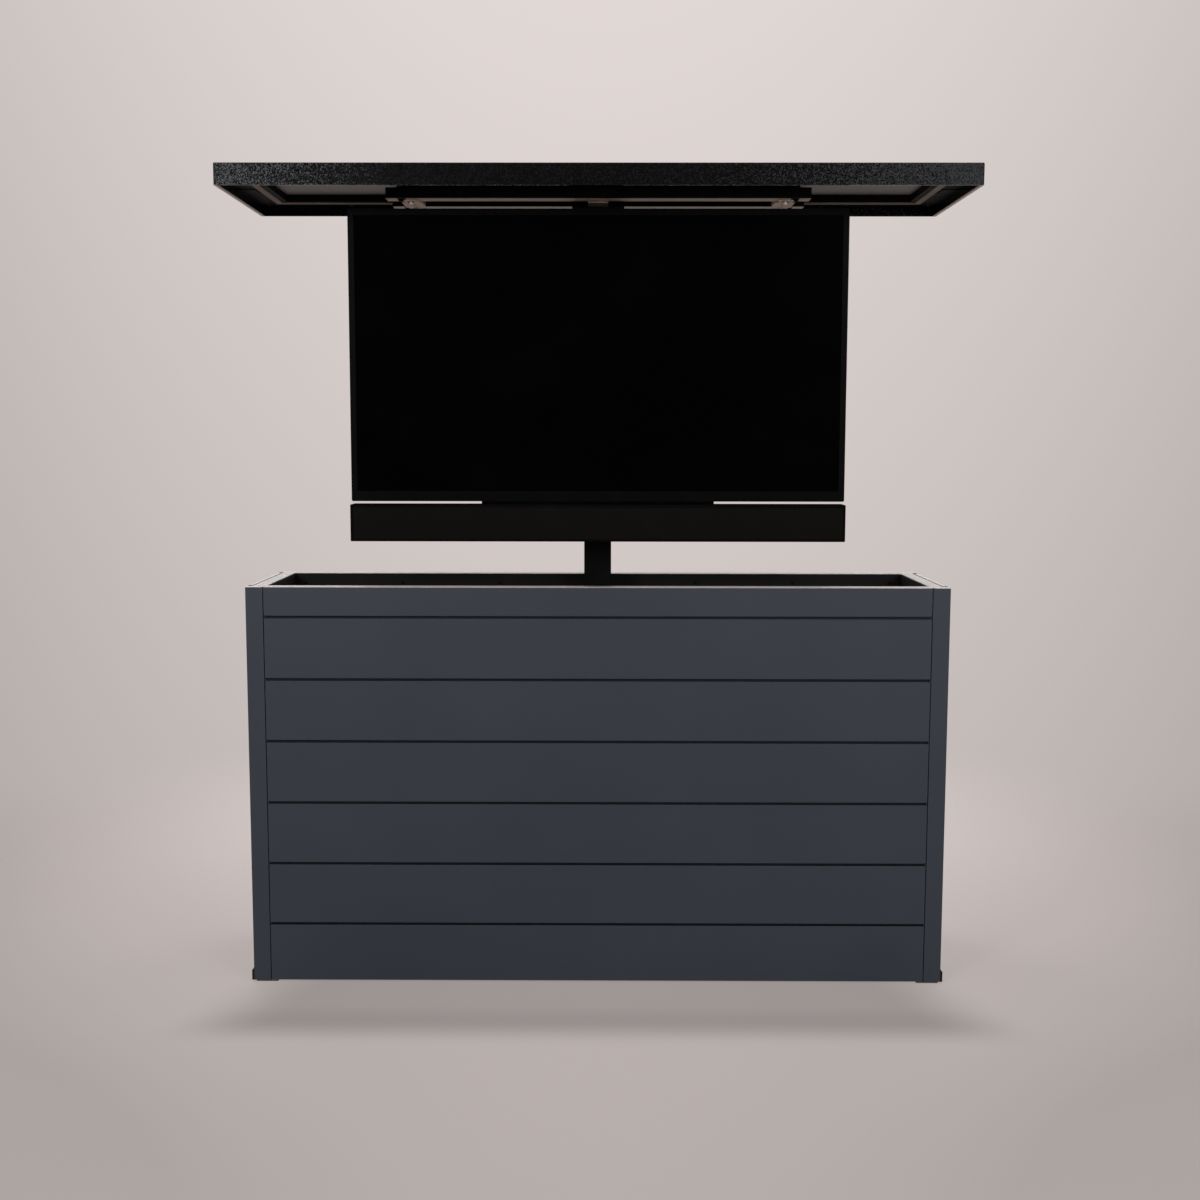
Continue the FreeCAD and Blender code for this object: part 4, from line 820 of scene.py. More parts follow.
COATS = (
    GrainedCoat("black_panel", (0.0034, 0.0026, 0.0022), (0.0052, 0.0040, 0.0034), 0.55, 0.08),
    GrainedCoat("dark_trim", (0.0050, 0.0050, 0.0056), (0.008, 0.008, 0.009), 0.60, 0.12),
    GrainedCoat("border_laminate", (0.0030, 0.0027, 0.0026), (0.0052, 0.0044, 0.0040), 0.60, 0.03,
                900.0, 0.00010),
    GrainedCoat("foot_rubber", (0.050, 0.034, 0.024), (0.075, 0.052, 0.038), 0.75, 0.3, 900.0, 0.00012),
    GrainedCoat("satin_powder", (0.0012, 0.0011, 0.0011), (0.0021, 0.0020, 0.0020), 0.42, 0.04,
                2200.0, 0.00012),
    GrainedCoat("bracket_powder", (0.0100, 0.0097, 0.0095), (0.0140, 0.0136, 0.0133), 0.45, 0.3,
                2200.0, 0.00012),
    GrainedCoat("acetal", (0.70, 0.69, 0.65), (0.62, 0.60, 0.55), 0.35, 0.4, 1600.0, 0.00004),
    GrainedCoat("grey_casting", (0.085, 0.085, 0.092), (0.13, 0.13, 0.14), 0.50, 0.4, 700.0, 0.00025),
    GrainedCoat("black_rubber", (0.010, 0.010, 0.010), (0.018, 0.017, 0.016), 0.72, 0.2),
    GrainedCoat("bare_lip", (0.270, 0.215, 0.190), (0.220, 0.174, 0.152), 0.60, 0.2, 900.0, 0.00010),
    GrainedCoat("sealing_foam", (0.150, 0.118, 0.100), (0.205, 0.168, 0.145), 0.85, 0.15, 1100.0, 0.00030),
    GrainedCoat("tv_moulding", (0.0012, 0.0011, 0.0011), (0.0017, 0.0016, 0.0016), 0.45, 0.02,
                2600.0, 0.00006),
    GrainedCoat("tv_back_moulding", (0.0130, 0.0130, 0.0138), (0.018, 0.018, 0.019), 0.58, 0.25,
                1900.0, 0.00015),
    GrainedCoat("soundbar_moulding", (0.0034, 0.0030, 0.0028), (0.0045, 0.0040, 0.0038), 0.70, 0.0),
    GrainedCoat("soundbar_metal_mesh", (0.0058, 0.0046, 0.0040), (0.0068, 0.0054, 0.0050), 0.55, 0.02,
                1600.0, 0.00004),
    GrainedCoat("speaker_cloth", (0.0012, 0.0011, 0.0011), (0.0020, 0.0018, 0.0018), 0.90, 0.05,
                3000.0, 0.00020),
    GrainedCoat("lamp_lens", (0.030, 0.140, 0.050), (0.040, 0.170, 0.065), 0.15, 0.5, 1200.0, 0.00001),
)


class Palette:
    """Every finish of the cabinet, made once and found by its name."""

    def __init__(self) -> None:
        """Builds the materials."""
        board = CappedBoard()
        mill = BrushedMetal("mill_aluminium", (0.37, 0.350, 0.340), (0.31, 0.293, 0.284), 0.46, 0.7)
        zinc = BrushedMetal("bright_zinc", (0.52, 0.50, 0.48), (0.36, 0.34, 0.33), 0.34)
        dark = BrushedMetal("dark_steel", (0.060, 0.052, 0.048), (0.030, 0.027, 0.026), 0.42)
        sheet = BrushedMetal("pale_sheet", (0.094, 0.074, 0.066), (0.070, 0.055, 0.049), 0.50, 0.1)
        self.finishes = {
            "long_board": board.material(Grain.ALONG_X, Face.LONG),
            "end_board": board.material(Grain.ALONG_Y, Face.END),
            "post_board": board.material(Grain.ALONG_Z, Face.POST),
            "mill_along": mill.material(Grain.ALONG_X),
            "mill_upright": mill.material(Grain.ALONG_Z),
            "zinc": zinc.material(Grain.ALONG_Z),
            "dark_steel": dark.material(Grain.ALONG_Z),
            "pale_sheet": sheet.material(Grain.ALONG_X),
            "spangled": SpangledZinc().material(),
            "stone": StoneCoating().material(),
            "stained_board": StainedBoard().material(),
            "screen": ScreenGlass().material(),
        }
        self.finishes.update({coat.name: coat.material() for coat in COATS})


# ---------------------------------------------------------------- sub-assemblies
@dataclass
class Dresser:
    """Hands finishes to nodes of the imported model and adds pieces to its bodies.

    A screw's field holds its radius and height, and an inset's its distance from an edge.
    """

    frame: dict
    palette: Palette
    repeater: Repeater

    def dress(self, finish: str, *nodes: str) -> None:
        """Gives one finish to whole nodes.

        Args:
            finish: name of the finish.
            *nodes: names of nodes.
        """
        material = self.palette.finishes[finish]
        for name in nodes:
            mesh = self.frame["nodes"][name].data
            mesh.materials.clear()
            mesh.materials.append(material)
            LOG.info("dressed %s with %s", name, material.name)

    def fit(self, piece: Object, body: str, slot: str, *replaced: str) -> None:
        """Hangs a piece on a body.

        Args:
            piece: the piece.
            body: the body that it moves with.
            slot: the record's slot of its finish, not used.
            *replaced: nodes that it stands for.
        """
        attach(piece, body)
        if replaced:
            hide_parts(*replaced)
        LOG.info("%s rides on %s, %d faces", piece.name, body, len(piece.data.polygons))

    def add(self, name: str, shape: Shape, finish: str, body: str, slot: str, *replaced: str) -> None:
        """Finishes a closed shape and hangs it on a body."""
        self.fit(shape.finished(name, self.palette.finishes[finish]), body, slot, *replaced)

    def repeat(self, name: str, part: Shape, spots: Iterable[Spot], finish: str, body: str, slot: str,
               *replaced: str, outwards: bool = True) -> None:
        """Sets copies of a part on spots and hangs them on a body as one piece.

        Args:
            name: name of the piece.
            part: the part, standing on the origin along Z.
            spots: where the copies stand.
            finish: name of the finish.
            body: the body that they move with.
            slot: the record's slot of the finish.
            *replaced: nodes that they stand for.
            outwards: True where the part is closed.
        """
        material = self.palette.finishes[finish]
        self.fit(self.repeater.make(name, part, spots, material, outwards), body, slot, *replaced)


def mirrored(x: float, y: float) -> list[Pair]:
    """The four places at plus and minus x and y."""
    return [(sign_x * x, sign_y * y) for sign_x in (-1, 1) for sign_y in (-1, 1)]


def row(first: float, last: float, pitch: float) -> list[float]:
    """Evenly spaced places from first to last, near the wanted pitch."""
    count = max(1, round(abs(last - first) / pitch))
    return [first + (last - first) * step / count for step in range(count + 1)]


# Profiles as shares of a radius and of a height.
PAN_HEAD = ((1.0, 0.0), (1.0, 0.35), (0.82, 0.85), (0.6, 1.0), (0.42, 1.0), (0.42, 0.3), (0.0, 0.25))
WELD_BEAD = ((1.0, 0.0), (0.8, 0.45), (0.4, 0.66), (0.0, 0.7))
BOLT_ROUND = 0.2
BOLT_CHAMFER = 0.07
BOLT_TOP = 0.88


def from_shares(shares: Sequence[Pair], radius: float, height: float, sides: int) -> Shape:
    """A turned part whose profile is given as shares of its radius and height."""
    return Shape().turned([(radius * across, height * up) for across, up in shares], sides)


def pan_head(radius: float, height: float) -> Shape:
    """Low domed screw head with a round socket."""
    return from_shares(PAN_HEAD, radius, height, 16)


def hex_bolt(across: float, height: float, washer: float, thickness: float) -> Shape:
    """Chamfered hexagon head on a washer.

    Args:
        across: width across the flats.
        height: height of washer and head together.
        washer: radius of the washer.
        thickness: thickness of the washer.

    Returns:
        The bolt, standing on the origin.
    """
    edge = thickness * BOLT_ROUND
    bolt = Shape().turned([(washer - edge, 0.0), (washer, edge), (washer, thickness - edge),
                           (washer - edge, thickness)], 24)
    corner = across / math.sqrt(3)
    return bolt.turned([(corner, thickness), (corner, height - across * BOLT_CHAMFER),
                        (corner * BOLT_TOP, height)], 6)


@dataclass
class CladBody(Dresser):
    """Boards, corner posts, frame, trims and feet of the cabinet."""

    screw_x: float = 0.8535
    screw_y: float = 0.1910
    screw_radius: float = 0.0063

    def build(self) -> None:
        """Dresses the body and sets the post screws."""
        self.dress("long_board", "front_planks", "rear_planks")
        self.dress("end_board", "left_planks", "right_planks")
        self.dress("post_board", "corner_post_front_left", "corner_post_front_right",
                   "corner_post_rear_left", "corner_post_rear_right")
        self.dress("mill_along", "frame_top_rails", "frame_bottom_rails")
        self.dress("mill_upright", "frame_uprights")
        self.dress("stained_board", "frame_studs")
        self.dress("dark_trim", "base_trims")
        self.dress("foot_rubber", "feet")
        low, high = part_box("post_screws")
        spots = [Spot((x, y, low.z)) for x, y in mirrored(self.screw_x, self.screw_y)]
        self.repeat("post_screw_heads", pan_head(self.screw_radius, high.z - low.z), spots,
                    "satin_powder", "cabinet", "dark_screw", "post_screws")


@dataclass
class Well(Dresser):
    """Inside of the cabinet: liners, floor, cable entry and the lift's control."""

    liner_screw: Pair = (0.0042, 0.0014)
    screw_pitch: float = 0.2600
    screw_drop: float = 0.0240
    end_margin: float = 0.0300
    end_liner_wall: float = 0.0030
    case_rise: float = 0.0160
    cover_lift: float = 0.0018
    cover_sink: float = 0.0004
    cover_round: float = 0.0008
    cover_margin: float = 0.0060
    cover_screw: Pair = (0.0034, 0.0010)
    cover_screw_inset: float = 0.0090
    lamp_profile: tuple[Pair, ...] = ((0.0030, 0.0), (0.0026, 0.0006), (0.0014, 0.0010), (0.0, 0.0011))
    lamp_inset: float = 0.0300

    def build(self) -> None:
        """Dresses the well and screws its panels on."""
        self.dress("black_panel", "liner_front", "liner_rear", "liner_ends")
        self.dress("stained_board", "floor_panel")
        self.dress("dark_trim", "cable_grommet")
        self.dress("tv_back_moulding", "control_box")
        self.repeat("liner_screws", pan_head(*self.liner_screw), self.liner_spots(), "satin_powder",
                    "cabinet", "dark_screw")
        self.control_cover()

    def liner_spots(self) -> Iterator[Spot]:
        """Places of the screws in the liners, in two rows.

        Yields:
            Each place.
        """
        front_low, front_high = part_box("liner_front")
        rear_low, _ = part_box("liner_rear")
        _, ends_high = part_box("liner_ends")
        heights = (front_high.z - self.screw_drop, front_low.z + self.screw_drop)
        for height in heights:
            for x in row(front_low.x + self.end_margin, front_high.x - self.end_margin, self.screw_pitch):
                yield Spot((x, front_high.y, height), BACK)
                yield Spot((x, rear_low.y, height), FRONT)
            inner = ends_high.x - self.end_liner_wall
            for y in row(-ends_high.y + self.end_margin, ends_high.y - self.end_margin, self.screw_pitch):
                yield Spot((-inner, y, height), (1.0, 0.0, 0.0))
                yield Spot((inner, y, height), (-1.0, 0.0, 0.0))

    def control_cover(self) -> None:
        """Cover, cover screws and status lamp of the control box."""
        low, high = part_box("control_box")
        case_foot = low.z + self.case_rise
        face = low.y - self.cover_lift
        margin = self.cover_margin
        cover = Shape().box((low.x + margin, face, case_foot + margin),
                            (high.x - margin, low.y + self.cover_sink, high.z - margin), self.cover_round)
        self.add("control_cover", cover, "tv_back_moulding", "cabinet", "drive_housing")
        inset = margin + self.cover_screw_inset
        spots = [Spot((x, face, z), FRONT) for x in (low.x + inset, high.x - inset)
                 for z in (case_foot + inset, high.z - inset)]
        self.repeat("control_screws", pan_head(*self.cover_screw), spots, "zinc", "cabinet", "zinc")
        place = Matrix.Translation((high.x - self.lamp_inset, face, high.z - self.lamp_inset))
        lamp = Shape().turned(self.lamp_profile, 16, place @ Matrix.Rotation(math.pi / 2, 4, "X"))
        self.add("status_lamp", lamp, "lamp_lens", "cabinet", "drive_housing")


@dataclass
class LiftColumn(Dresser):
    """Telescopic column with its screw and belt."""

    thread_depth: float = 0.0015
    thread_lead: float = 0.0200
    thread_starts: float = 4.0
    belt_step: float = 0.0020
    belt_skin: float = 0.0010
    tooth_pitch: float = 0.0050
    tooth_half: float = 0.0013
    tooth_height: float = 0.0010
    tooth_round: float = 0.0003
    pulley_teeth: int = 13
    tooth_steps: int = 8
    groove_steps: tuple[int, int] = (5, 6)
    groove_depth: float = 0.0011
    pulley_bore: float = 0.00405
    plate_bolt: float = 0.0160
    bolt_washer: Pair = (0.0135, 0.0016)
    plate_thickness: float = 0.0080
    bead_radius: float = 0.0026
    bead_pitch: float = 0.0016
    bead_start: float = 0.0030
    gusset_half: float = 0.0030
    base_gussets: Pair = (-0.028, 0.028)
    base_gusset_end: Pair = (0.156, 0.086)
    head_gussets: Pair = (-0.038, 0.038)
    head_gusset_end: Pair = (0.113, 0.106)
    motor_axis: Pair = (0.0770, 0.0800)
    motor_radius: float = 0.0290
    rib_count: int = 28
    rib_half: float = 0.0008
    rib_depth: float = 0.0024
    rib_round: float = 0.0004
    rib_length: float = 0.1120
    rib_rise: float = 0.0740

    def build(self) -> None:
        """Dresses the column and adds its details."""
        self.dress("satin_powder", "outer_tube", "middle_tube", "inner_tube", "lid_mast")
        self.dress("bracket_powder", "column_base_plate", "head_bracket")
        self.dress("zinc", "belt_mast", "belt_anchor_post", "belt_clamp")
        self.dress("acetal", "outer_guide_pads", "middle_guide_pads", "inner_guide_pads", "spindle_nut")
        self.dress("grey_casting", "gear_motor", "bevel_box")
        self.spindle()
        self.belt()
        for place in ("top", "bottom"):
            self.pulley(place)
        self.base_bolts()
        self.welds()
        self.motor_details()

    def spindle(self) -> None:
        """Lifting screw with its four-start thread."""
        low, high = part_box("lift_spindle")
        host = bpy.data.meshes.new("spindle_host")
        radius = (high.x - low.x) / 2
        screw = Threader().run("threaded_spindle", host, Radius=radius, Depth=self.thread_depth,
                               Lead=self.thread_lead, Starts=self.thread_starts, Length=high.z - low.z,
                               Foot=low.z, Axis_Y=(low.y + high.y) / 2,
                               Finish=self.palette.finishes["zinc"])
        closed = bmesh.new()
        closed.from_mesh(screw.data)
        bmesh.ops.recalc_face_normals(closed, faces=closed.faces)
        closed.to_mesh(screw.data)
        closed.free()
        self.fit(screw, "spindle", "zinc", "lift_spindle")

    @staticmethod
    def loop(radius: float, low: float, high: float, pitch: float) -> Iterator[tuple[Triple, Triple]]:
        """Walks round a belt's path in the XZ plane.

        Args:
            radius: radius of its two bends.
            low: height of the lower axis.
            high: height of the upper axis.
            pitch: wanted length of a step.

        Yields:
            A point and the outward direction there, with y = 0.
        """
        run = high - low
        bend = math.pi * radius
        length = 2 * run + math.tau * radius
        steps = round(length / pitch)
        for step in range(steps):
            along = length * step / steps
            if along < run:
                yield (radius, 0.0, low + along), (1.0, 0.0, 0.0)
                continue
            if run + bend <= along < 2 * run + bend:
                yield (-radius, 0.0, high - (along - run - bend)), (-1.0, 0.0, 0.0)
                continue
            upper = along < run + bend
            angle = (along - run) / radius if upper else math.pi + (along - 2 * run - bend) / radius
            x, z = around(1.0, angle)
            yield (radius * x, 0.0, (high if upper else low) + radius * z), (x, 0.0, z)

    def belt(self) -> None:
        """Belt band with teeth on its inside."""
        low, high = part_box("lift_belt")
        outer = (high.x - low.x) / 2
        axes = (low.z + outer, high.z - outer)
        outlines = []
        for (x, _, z), out in self.loop(outer, *axes, self.belt_step):
            inner_x, inner_z = x - self.belt_skin * out[0], z - self.belt_skin * out[2]
            outlines.append([(x, low.y, z), (x, high.y, z), (inner_x, high.y, inner_z),
                             (inner_x, low.y, inner_z)])
        self.add("toothed_belt", Shape().loops(outlines), "black_rubber", "middle_stage", "belt_rubber",
                 "lift_belt")
        half = (high.y - low.y) / 2
        tooth = Shape().box((-self.tooth_half, -half, 0.0), (self.tooth_half, half, self.tooth_height),
                            self.tooth_round)
        spots = [Spot((x, low.y + half, z), tuple(-part for part in out))
                 for (x, _, z), out in self.loop(outer - self.belt_skin, *axes, self.tooth_pitch)]
        self.repeat("belt_teeth", tooth, spots, "black_rubber", "middle_stage", "belt_rubber")

    def pulley(self, place: str) -> None:
        """Grooved wheel that stands for one pulley node.

        Args:
            place: top or bottom.
        """
        low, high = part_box("belt_pulley_" + place)
        radius = (high.x - low.x) / 2
        middle = (low.z + high.z) / 2
        steps = self.pulley_teeth * self.tooth_steps
        angles = [math.tau * step / steps for step in range(steps)]
        depths = [self.groove_depth * (step % self.tooth_steps in self.groove_steps) for step in range(steps)]
        rim = [around(radius - depth, angle) for depth, angle in zip(depths, angles)]
        hub = [around(self.pulley_bore, angle) for angle in angles]
        outlines = [[(x, y, middle + z) for x, z in ring]
                    for ring, y in ((rim, low.y), (rim, high.y), (hub, high.y), (hub, low.y))]
        self.add("grooved_pulley_" + place, Shape().loops(outlines), "zinc", place + "_pulley", "zinc",
                 "belt_pulley_" + place)

    def base_bolts(self) -> None:
        """Hexagon bolts on washers at the corners of the base plate."""
        low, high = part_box("column_bolts")
        corner = self.plate_bolt / math.sqrt(3)
        middle = (low.y + high.y) / 2
        spots = [Spot((x, middle + y, low.z))
                 for x, y in mirrored(high.x - corner, high.y - middle - self.plate_bolt / 2)]
        bolt = hex_bolt(self.plate_bolt, high.z - low.z, *self.bolt_washer)
        self.repeat("base_bolts", bolt, spots, "zinc", "cabinet", "zinc", "column_bolts")

    def seams(self, gussets: Pair, foot: float, wall: float, end: Pair) -> Iterator[Spot]:
        """Places of the beads on both sides of two gussets.

        Args:
            gussets: x of the middle of each gusset.
            foot: height of the plate that the gussets stand on.
            wall: y of the tube that they lean on.
            end: y of their tips, and their height.

        Yields:
            Each place.
        """
        for x in (middle + side for middle in gussets for side in (-self.gusset_half, self.gusset_half)):
            for y in row(wall + self.bead_start, end[0], self.bead_pitch):
                yield Spot((x, y, foot))
            for z in row(foot + self.bead_start, foot + end[1], self.bead_pitch):
                yield Spot((x, wall, z), BACK)

    def welds(self) -> None:
        """Rippled weld beads along the gussets of the foot and of the head."""
        foot_low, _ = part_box("column_base_plate")
        _, tube_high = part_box("outer_tube")
        mast_low, mast_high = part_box("lid_mast")
        base = self.seams(self.base_gussets, foot_low.z + self.plate_thickness, tube_high.y,
                          self.base_gusset_end)
        head = self.seams(self.head_gussets, mast_low.z, mast_high.y, self.head_gusset_end)
        for name, spots, body in (("base_welds", base, "cabinet"), ("head_welds", head, "carriage")):
            bead = from_shares(WELD_BEAD, self.bead_radius, self.bead_radius, 10)
            self.repeat(name, bead, spots, "bracket_powder", body, "column_steel")

    def motor_details(self) -> None:
        """Cooling ribs round the motor's body."""
        low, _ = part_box("gear_motor")
        foot = low.z + self.rib_rise
        axis_x, axis_y = self.motor_axis
        spots = []
        for step in range(self.rib_count):
            x, y = around(1.0, math.tau * step / self.rib_count)
            spots.append(Spot((axis_x + x * self.motor_radius, axis_y + y * self.motor_radius, foot),
                              (x, y, 0.0)))
        half = self.rib_half
        rib = Shape().box((-half, 0.0, -half), (half, self.rib_length, self.rib_depth), self.rib_round)
        self.repeat("motor_ribs", rib, spots, "grey_casting", "cabinet", "drive_housing")


@dataclass
class Television(Dresser):
    """Television, its mount and the soundbar."""

    mesh_pitch: float = 0.0042
    mesh_hole: float = 0.00145
    mesh_rim: float = 0.0032
    mesh_sheet: float = 0.0010
    mesh_depth: float = 0.0006
    rim_proud: float = 0.0004
    rim_round: float = 0.0008
    cloth_depth: float = 0.0017
    back_step: float = 0.0140
    back_screw: Pair = (0.0040, 0.0012)
    back_screw_inset: float = 0.0160
    back_screw_pitch: Pair = (0.2350, 0.1900)
    port_floor: float = -0.0220
    port_middle: Pair = (0.3900, 1.3050)
    socket_rise: float = 0.0024
    socket_wall: float = 0.0007
    socket_sink: float = 0.0004
    socket_floor: float = 0.0003
    flat_sockets: Triple = (-0.0700, -0.0100, 0.0200)
    flat_socket_half: Pair = (0.0075, 0.0026)
    square_socket: Triple = (0.0080, 0.0240, 0.0068)
    round_sockets: tuple[Pair, ...] = ((0.0400, 0.0048), (0.0560, 0.0036), (0.0700, 0.0036))

    def build(self) -> None:
        """Dresses the television, mount and soundbar, and adds their details."""
        self.dress("bracket_powder", "tv_mount_plate", "tv_mount_rails", "tv_mount_arms", "soundbar_bracket")
        self.dress("tv_back_moulding", "tv_back_cover")
        self.dress("tv_moulding", "tv_bezel")
        self.dress("screen", "tv_screen")
        self.dress("soundbar_moulding", "soundbar_housing")
        self.dress("zinc", "mount_bolts")
        self.soundbar_front()
        self.back_screws()
        self.sockets()

    def soundbar_front(self) -> None:
        """Pierced metal front of the soundbar in its rim, with cloth behind it."""
        low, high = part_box("soundbar_grille")
        rim, proud = self.mesh_rim, self.rim_proud
        face, back = low.y + proud, high.y
        steps = ((0.0, back), (0.0, face + self.rim_round), (self.rim_round, face - proud),
                 (rim, face - proud), (rim, back))
        frame = Shape().collar((low.x, low.z), (high.x, high.z), steps)
        self.add("soundbar_rim", frame, "soundbar_moulding", "carriage", "soundbar_case", "soundbar_grille")
        count = int((high.x - low.x - 2 * rim) / self.mesh_pitch)
        first = -(count - 1) / 2 * self.mesh_pitch
        spots = []
        heights = row(low.z + rim, high.z - rim, self.mesh_pitch * math.sqrt(3) / 2)
        for index, z in enumerate(heights[1:-1]):
            start = first + self.mesh_pitch / 2 * (index % 2) - self.mesh_pitch / 4
            spots += [Spot((start + step * self.mesh_pitch, face + self.mesh_depth, z), FRONT)
                      for step in range(count)]
        self.repeat("soundbar_mesh", self.mesh_cell(), spots, "soundbar_metal_mesh", "carriage",
                    "soundbar_mesh", outwards=False)
        cloth = Shape().box((low.x + rim, face + self.cloth_depth, low.z + rim),
                            (high.x - rim, back, high.z - rim))
        self.add("speaker_cloth", cloth, "speaker_cloth", "carriage", "soundbar_mesh")

    def mesh_cell(self) -> Shape:
        """One six-sided cell of the pierced sheet, with the wall of its hole."""
        cell = Shape()
        outer, hole = self.mesh_pitch / math.sqrt(3), self.mesh_hole
        angles = [math.radians(30 + 60 * step) for step in range(6)]
        rings = [[cell.mesh.verts.new((*around(reach, angle), height)) for angle in angles]
                 for reach, height in ((outer, 0.0), (hole, 0.0), (hole, -self.mesh_sheet))]
        for wide, narrow in zip(rings, rings[1:]):
            cell.bridge(wide, narrow)
        return cell

    def back_screws(self) -> None:
        """Screws round the rim of the television's rear cover."""
        low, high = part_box("tv_back_cover")
        y = low.y + self.back_step
        inset = self.back_screw_inset
        left, right = low.x + 2 * inset, high.x - 2 * inset
        pitch_x, pitch_z = self.back_screw_pitch
        spots = [Spot((x, y, high.z - inset), BACK) for x in row(left, right, pitch_x)]
        spots += [Spot((x, y, z), BACK) for x in (left, right)
                  for z in row(low.z + 2 * inset, high.z - 6 * inset, pitch_z)]
        self.repeat("tv_back_screws", pan_head(*self.back_screw), spots, "dark_steel", "carriage",
                    "dark_screw")

    def sockets(self) -> None:
        """Flat, square and round metal sockets in the pocket of the rear cover."""
        middle_x, middle_z = self.port_middle
        wall, rise, sink = self.socket_wall, self.socket_rise, self.socket_sink
        floor = self.port_floor
        face = floor + rise
        steps = ((0.0, floor - sink), (0.0, face), (wall, face), (wall, floor - sink))
        shells = Shape()
        first, last, pitch = self.flat_sockets
        half_x, half_z = self.flat_socket_half
        for x in row(middle_x + first, middle_x + last, pitch):
            shells.collar((x - half_x, middle_z - half_z), (x + half_x, middle_z + half_z), steps)
        left, right, half = self.square_socket
        shells.collar((middle_x + left, middle_z - half), (middle_x + right, middle_z + half), steps)
        turned = Matrix.Rotation(-math.pi / 2, 4, "X")
        for x, radius in self.round_sockets:
            profile = [(radius, -sink), (radius, rise), (radius - wall, rise),
                       (radius - wall, self.socket_floor), (0.0, self.socket_floor)]
            shells.turned(profile, 20, Matrix.Translation((middle_x + x, floor, middle_z)) @ turned)
        self.add("tv_sockets", shells, "zinc", "carriage", "zinc")


@dataclass
class LiftingLid(Dresser):
    """Lid with its underside, gasket and rails."""

    border_rise: float = 0.0020
    border_screw: Pair = (0.0042, 0.0013)
    border_screw_pitch: float = 0.2100
    border_screw_inset: float = 0.0220
    skirt_wall: float = 0.0050
    lip_width: float = 0.0052
    lip_height: float = 0.0015
    lip_round: float = 0.0002

    def build(self) -> None:
        """Dresses the lid and adds its details."""
        self.dress("stone", "lid_shell")
        self.dress("pale_sheet", "lid_underside_panel")
        self.dress("border_laminate", "lid_border")
        self.dress("sealing_foam", "lid_gasket")
        self.dress("satin_powder", "lid_rail_front", "lid_rail_rear", "lid_standoffs")
        self.dress("spangled", "lid_rail_straps", "lid_cross_brackets")
        self.border_screws()
        self.skirt_lips()

    def border_screws(self) -> None:
        """Screws in the lid's border, from below."""
        low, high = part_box("lid_border")
        inset = self.border_screw_inset
        spots = [Spot((x, side * (high.y - inset), low.z + self.border_rise), DOWN) for side in (-1, 1)
                 for x in row(low.x + inset, high.x - inset, self.border_screw_pitch)]
        self.repeat("border_screws", pan_head(*self.border_screw), spots, "dark_steel", "carriage",
                    "dark_screw")

    def skirt_lips(self) -> None:
        """Bare return lips along the foot of the lid's end skirts."""
        low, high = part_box("lid_shell")
        wall_x, wall_y = high.x - self.skirt_wall, high.y - self.skirt_wall
        lips = Shape()
        for side in (-1, 1):
            near, far = sorted((side * wall_x, side * (wall_x - self.lip_width)))
            lips.box((near, -wall_y, low.z), (far, wall_y, low.z + self.lip_height), self.lip_round)
        self.add("skirt_lips", lips, "bare_lip", "carriage", "lid_coating")


# ---------------------------------------------------------------- studio
@dataclass(frozen=True)
class StudioCamera:
    """Camera with a shifted lens, level with the upper half of the cabinet."""

    eye: Triple = (0.00243, -4.07269, 1.36007)
    focal_px: float = 1586.69
    pitch: float = 0.11619
    yaw: float = -0.0060
    roll: float = -0.0012
    axis_px: Pair = (589.01, 621.48)
    frame_px: float = 1200.0

    def build(self) -> None:
        """Places the camera and makes it the scene's."""
        lens = bpy.data.cameras.new("studio_camera")
        lens.sensor_width = SENSOR_WIDTH
        lens.lens = self.focal_px / self.frame_px * lens.sensor_width
        lens.shift_x = (self.frame_px / 2 - self.axis_px[0]) / self.frame_px
        lens.shift_y = (self.axis_px[1] - self.frame_px / 2) / self.frame_px
        lens.clip_end = FAR_CLIP
        camera = linked("studio_camera", lens)
        turned = Matrix.Rotation(-self.yaw, 4, "Z") @ Matrix.Rotation(math.pi / 2 - self.pitch, 4, "X")
        camera.matrix_world = Matrix.Translation(self.eye) @ turned @ Matrix.Rotation(-self.roll, 4, "Z")
        bpy.context.scene.camera = camera


@dataclass(frozen=True)
class Softbox:
    """A large rectangular lamp that faces a point and doesn't show itself."""

    name: str
    place: Triple
    target: Triple
    width: float
    height: float
    watts: float
    colour: Triple = (1.0, 1.0, 1.0)

    def build(self) -> None:
        """Hangs the lamp."""
        lamp = bpy.data.lights.new(self.name, "AREA")
        lamp.shape = "RECTANGLE"
        lamp.size, lamp.size_y = self.width, self.height
        lamp.energy = self.watts
        lamp.color = self.colour
        holder = linked(self.name, lamp)
        holder.visible_camera = False
        away = Vector(self.place) - Vector(self.target)
        turned = away.to_track_quat("Z", "Y").to_matrix().to_4x4()
        holder.matrix_world = Matrix.Translation(self.place) @ turned


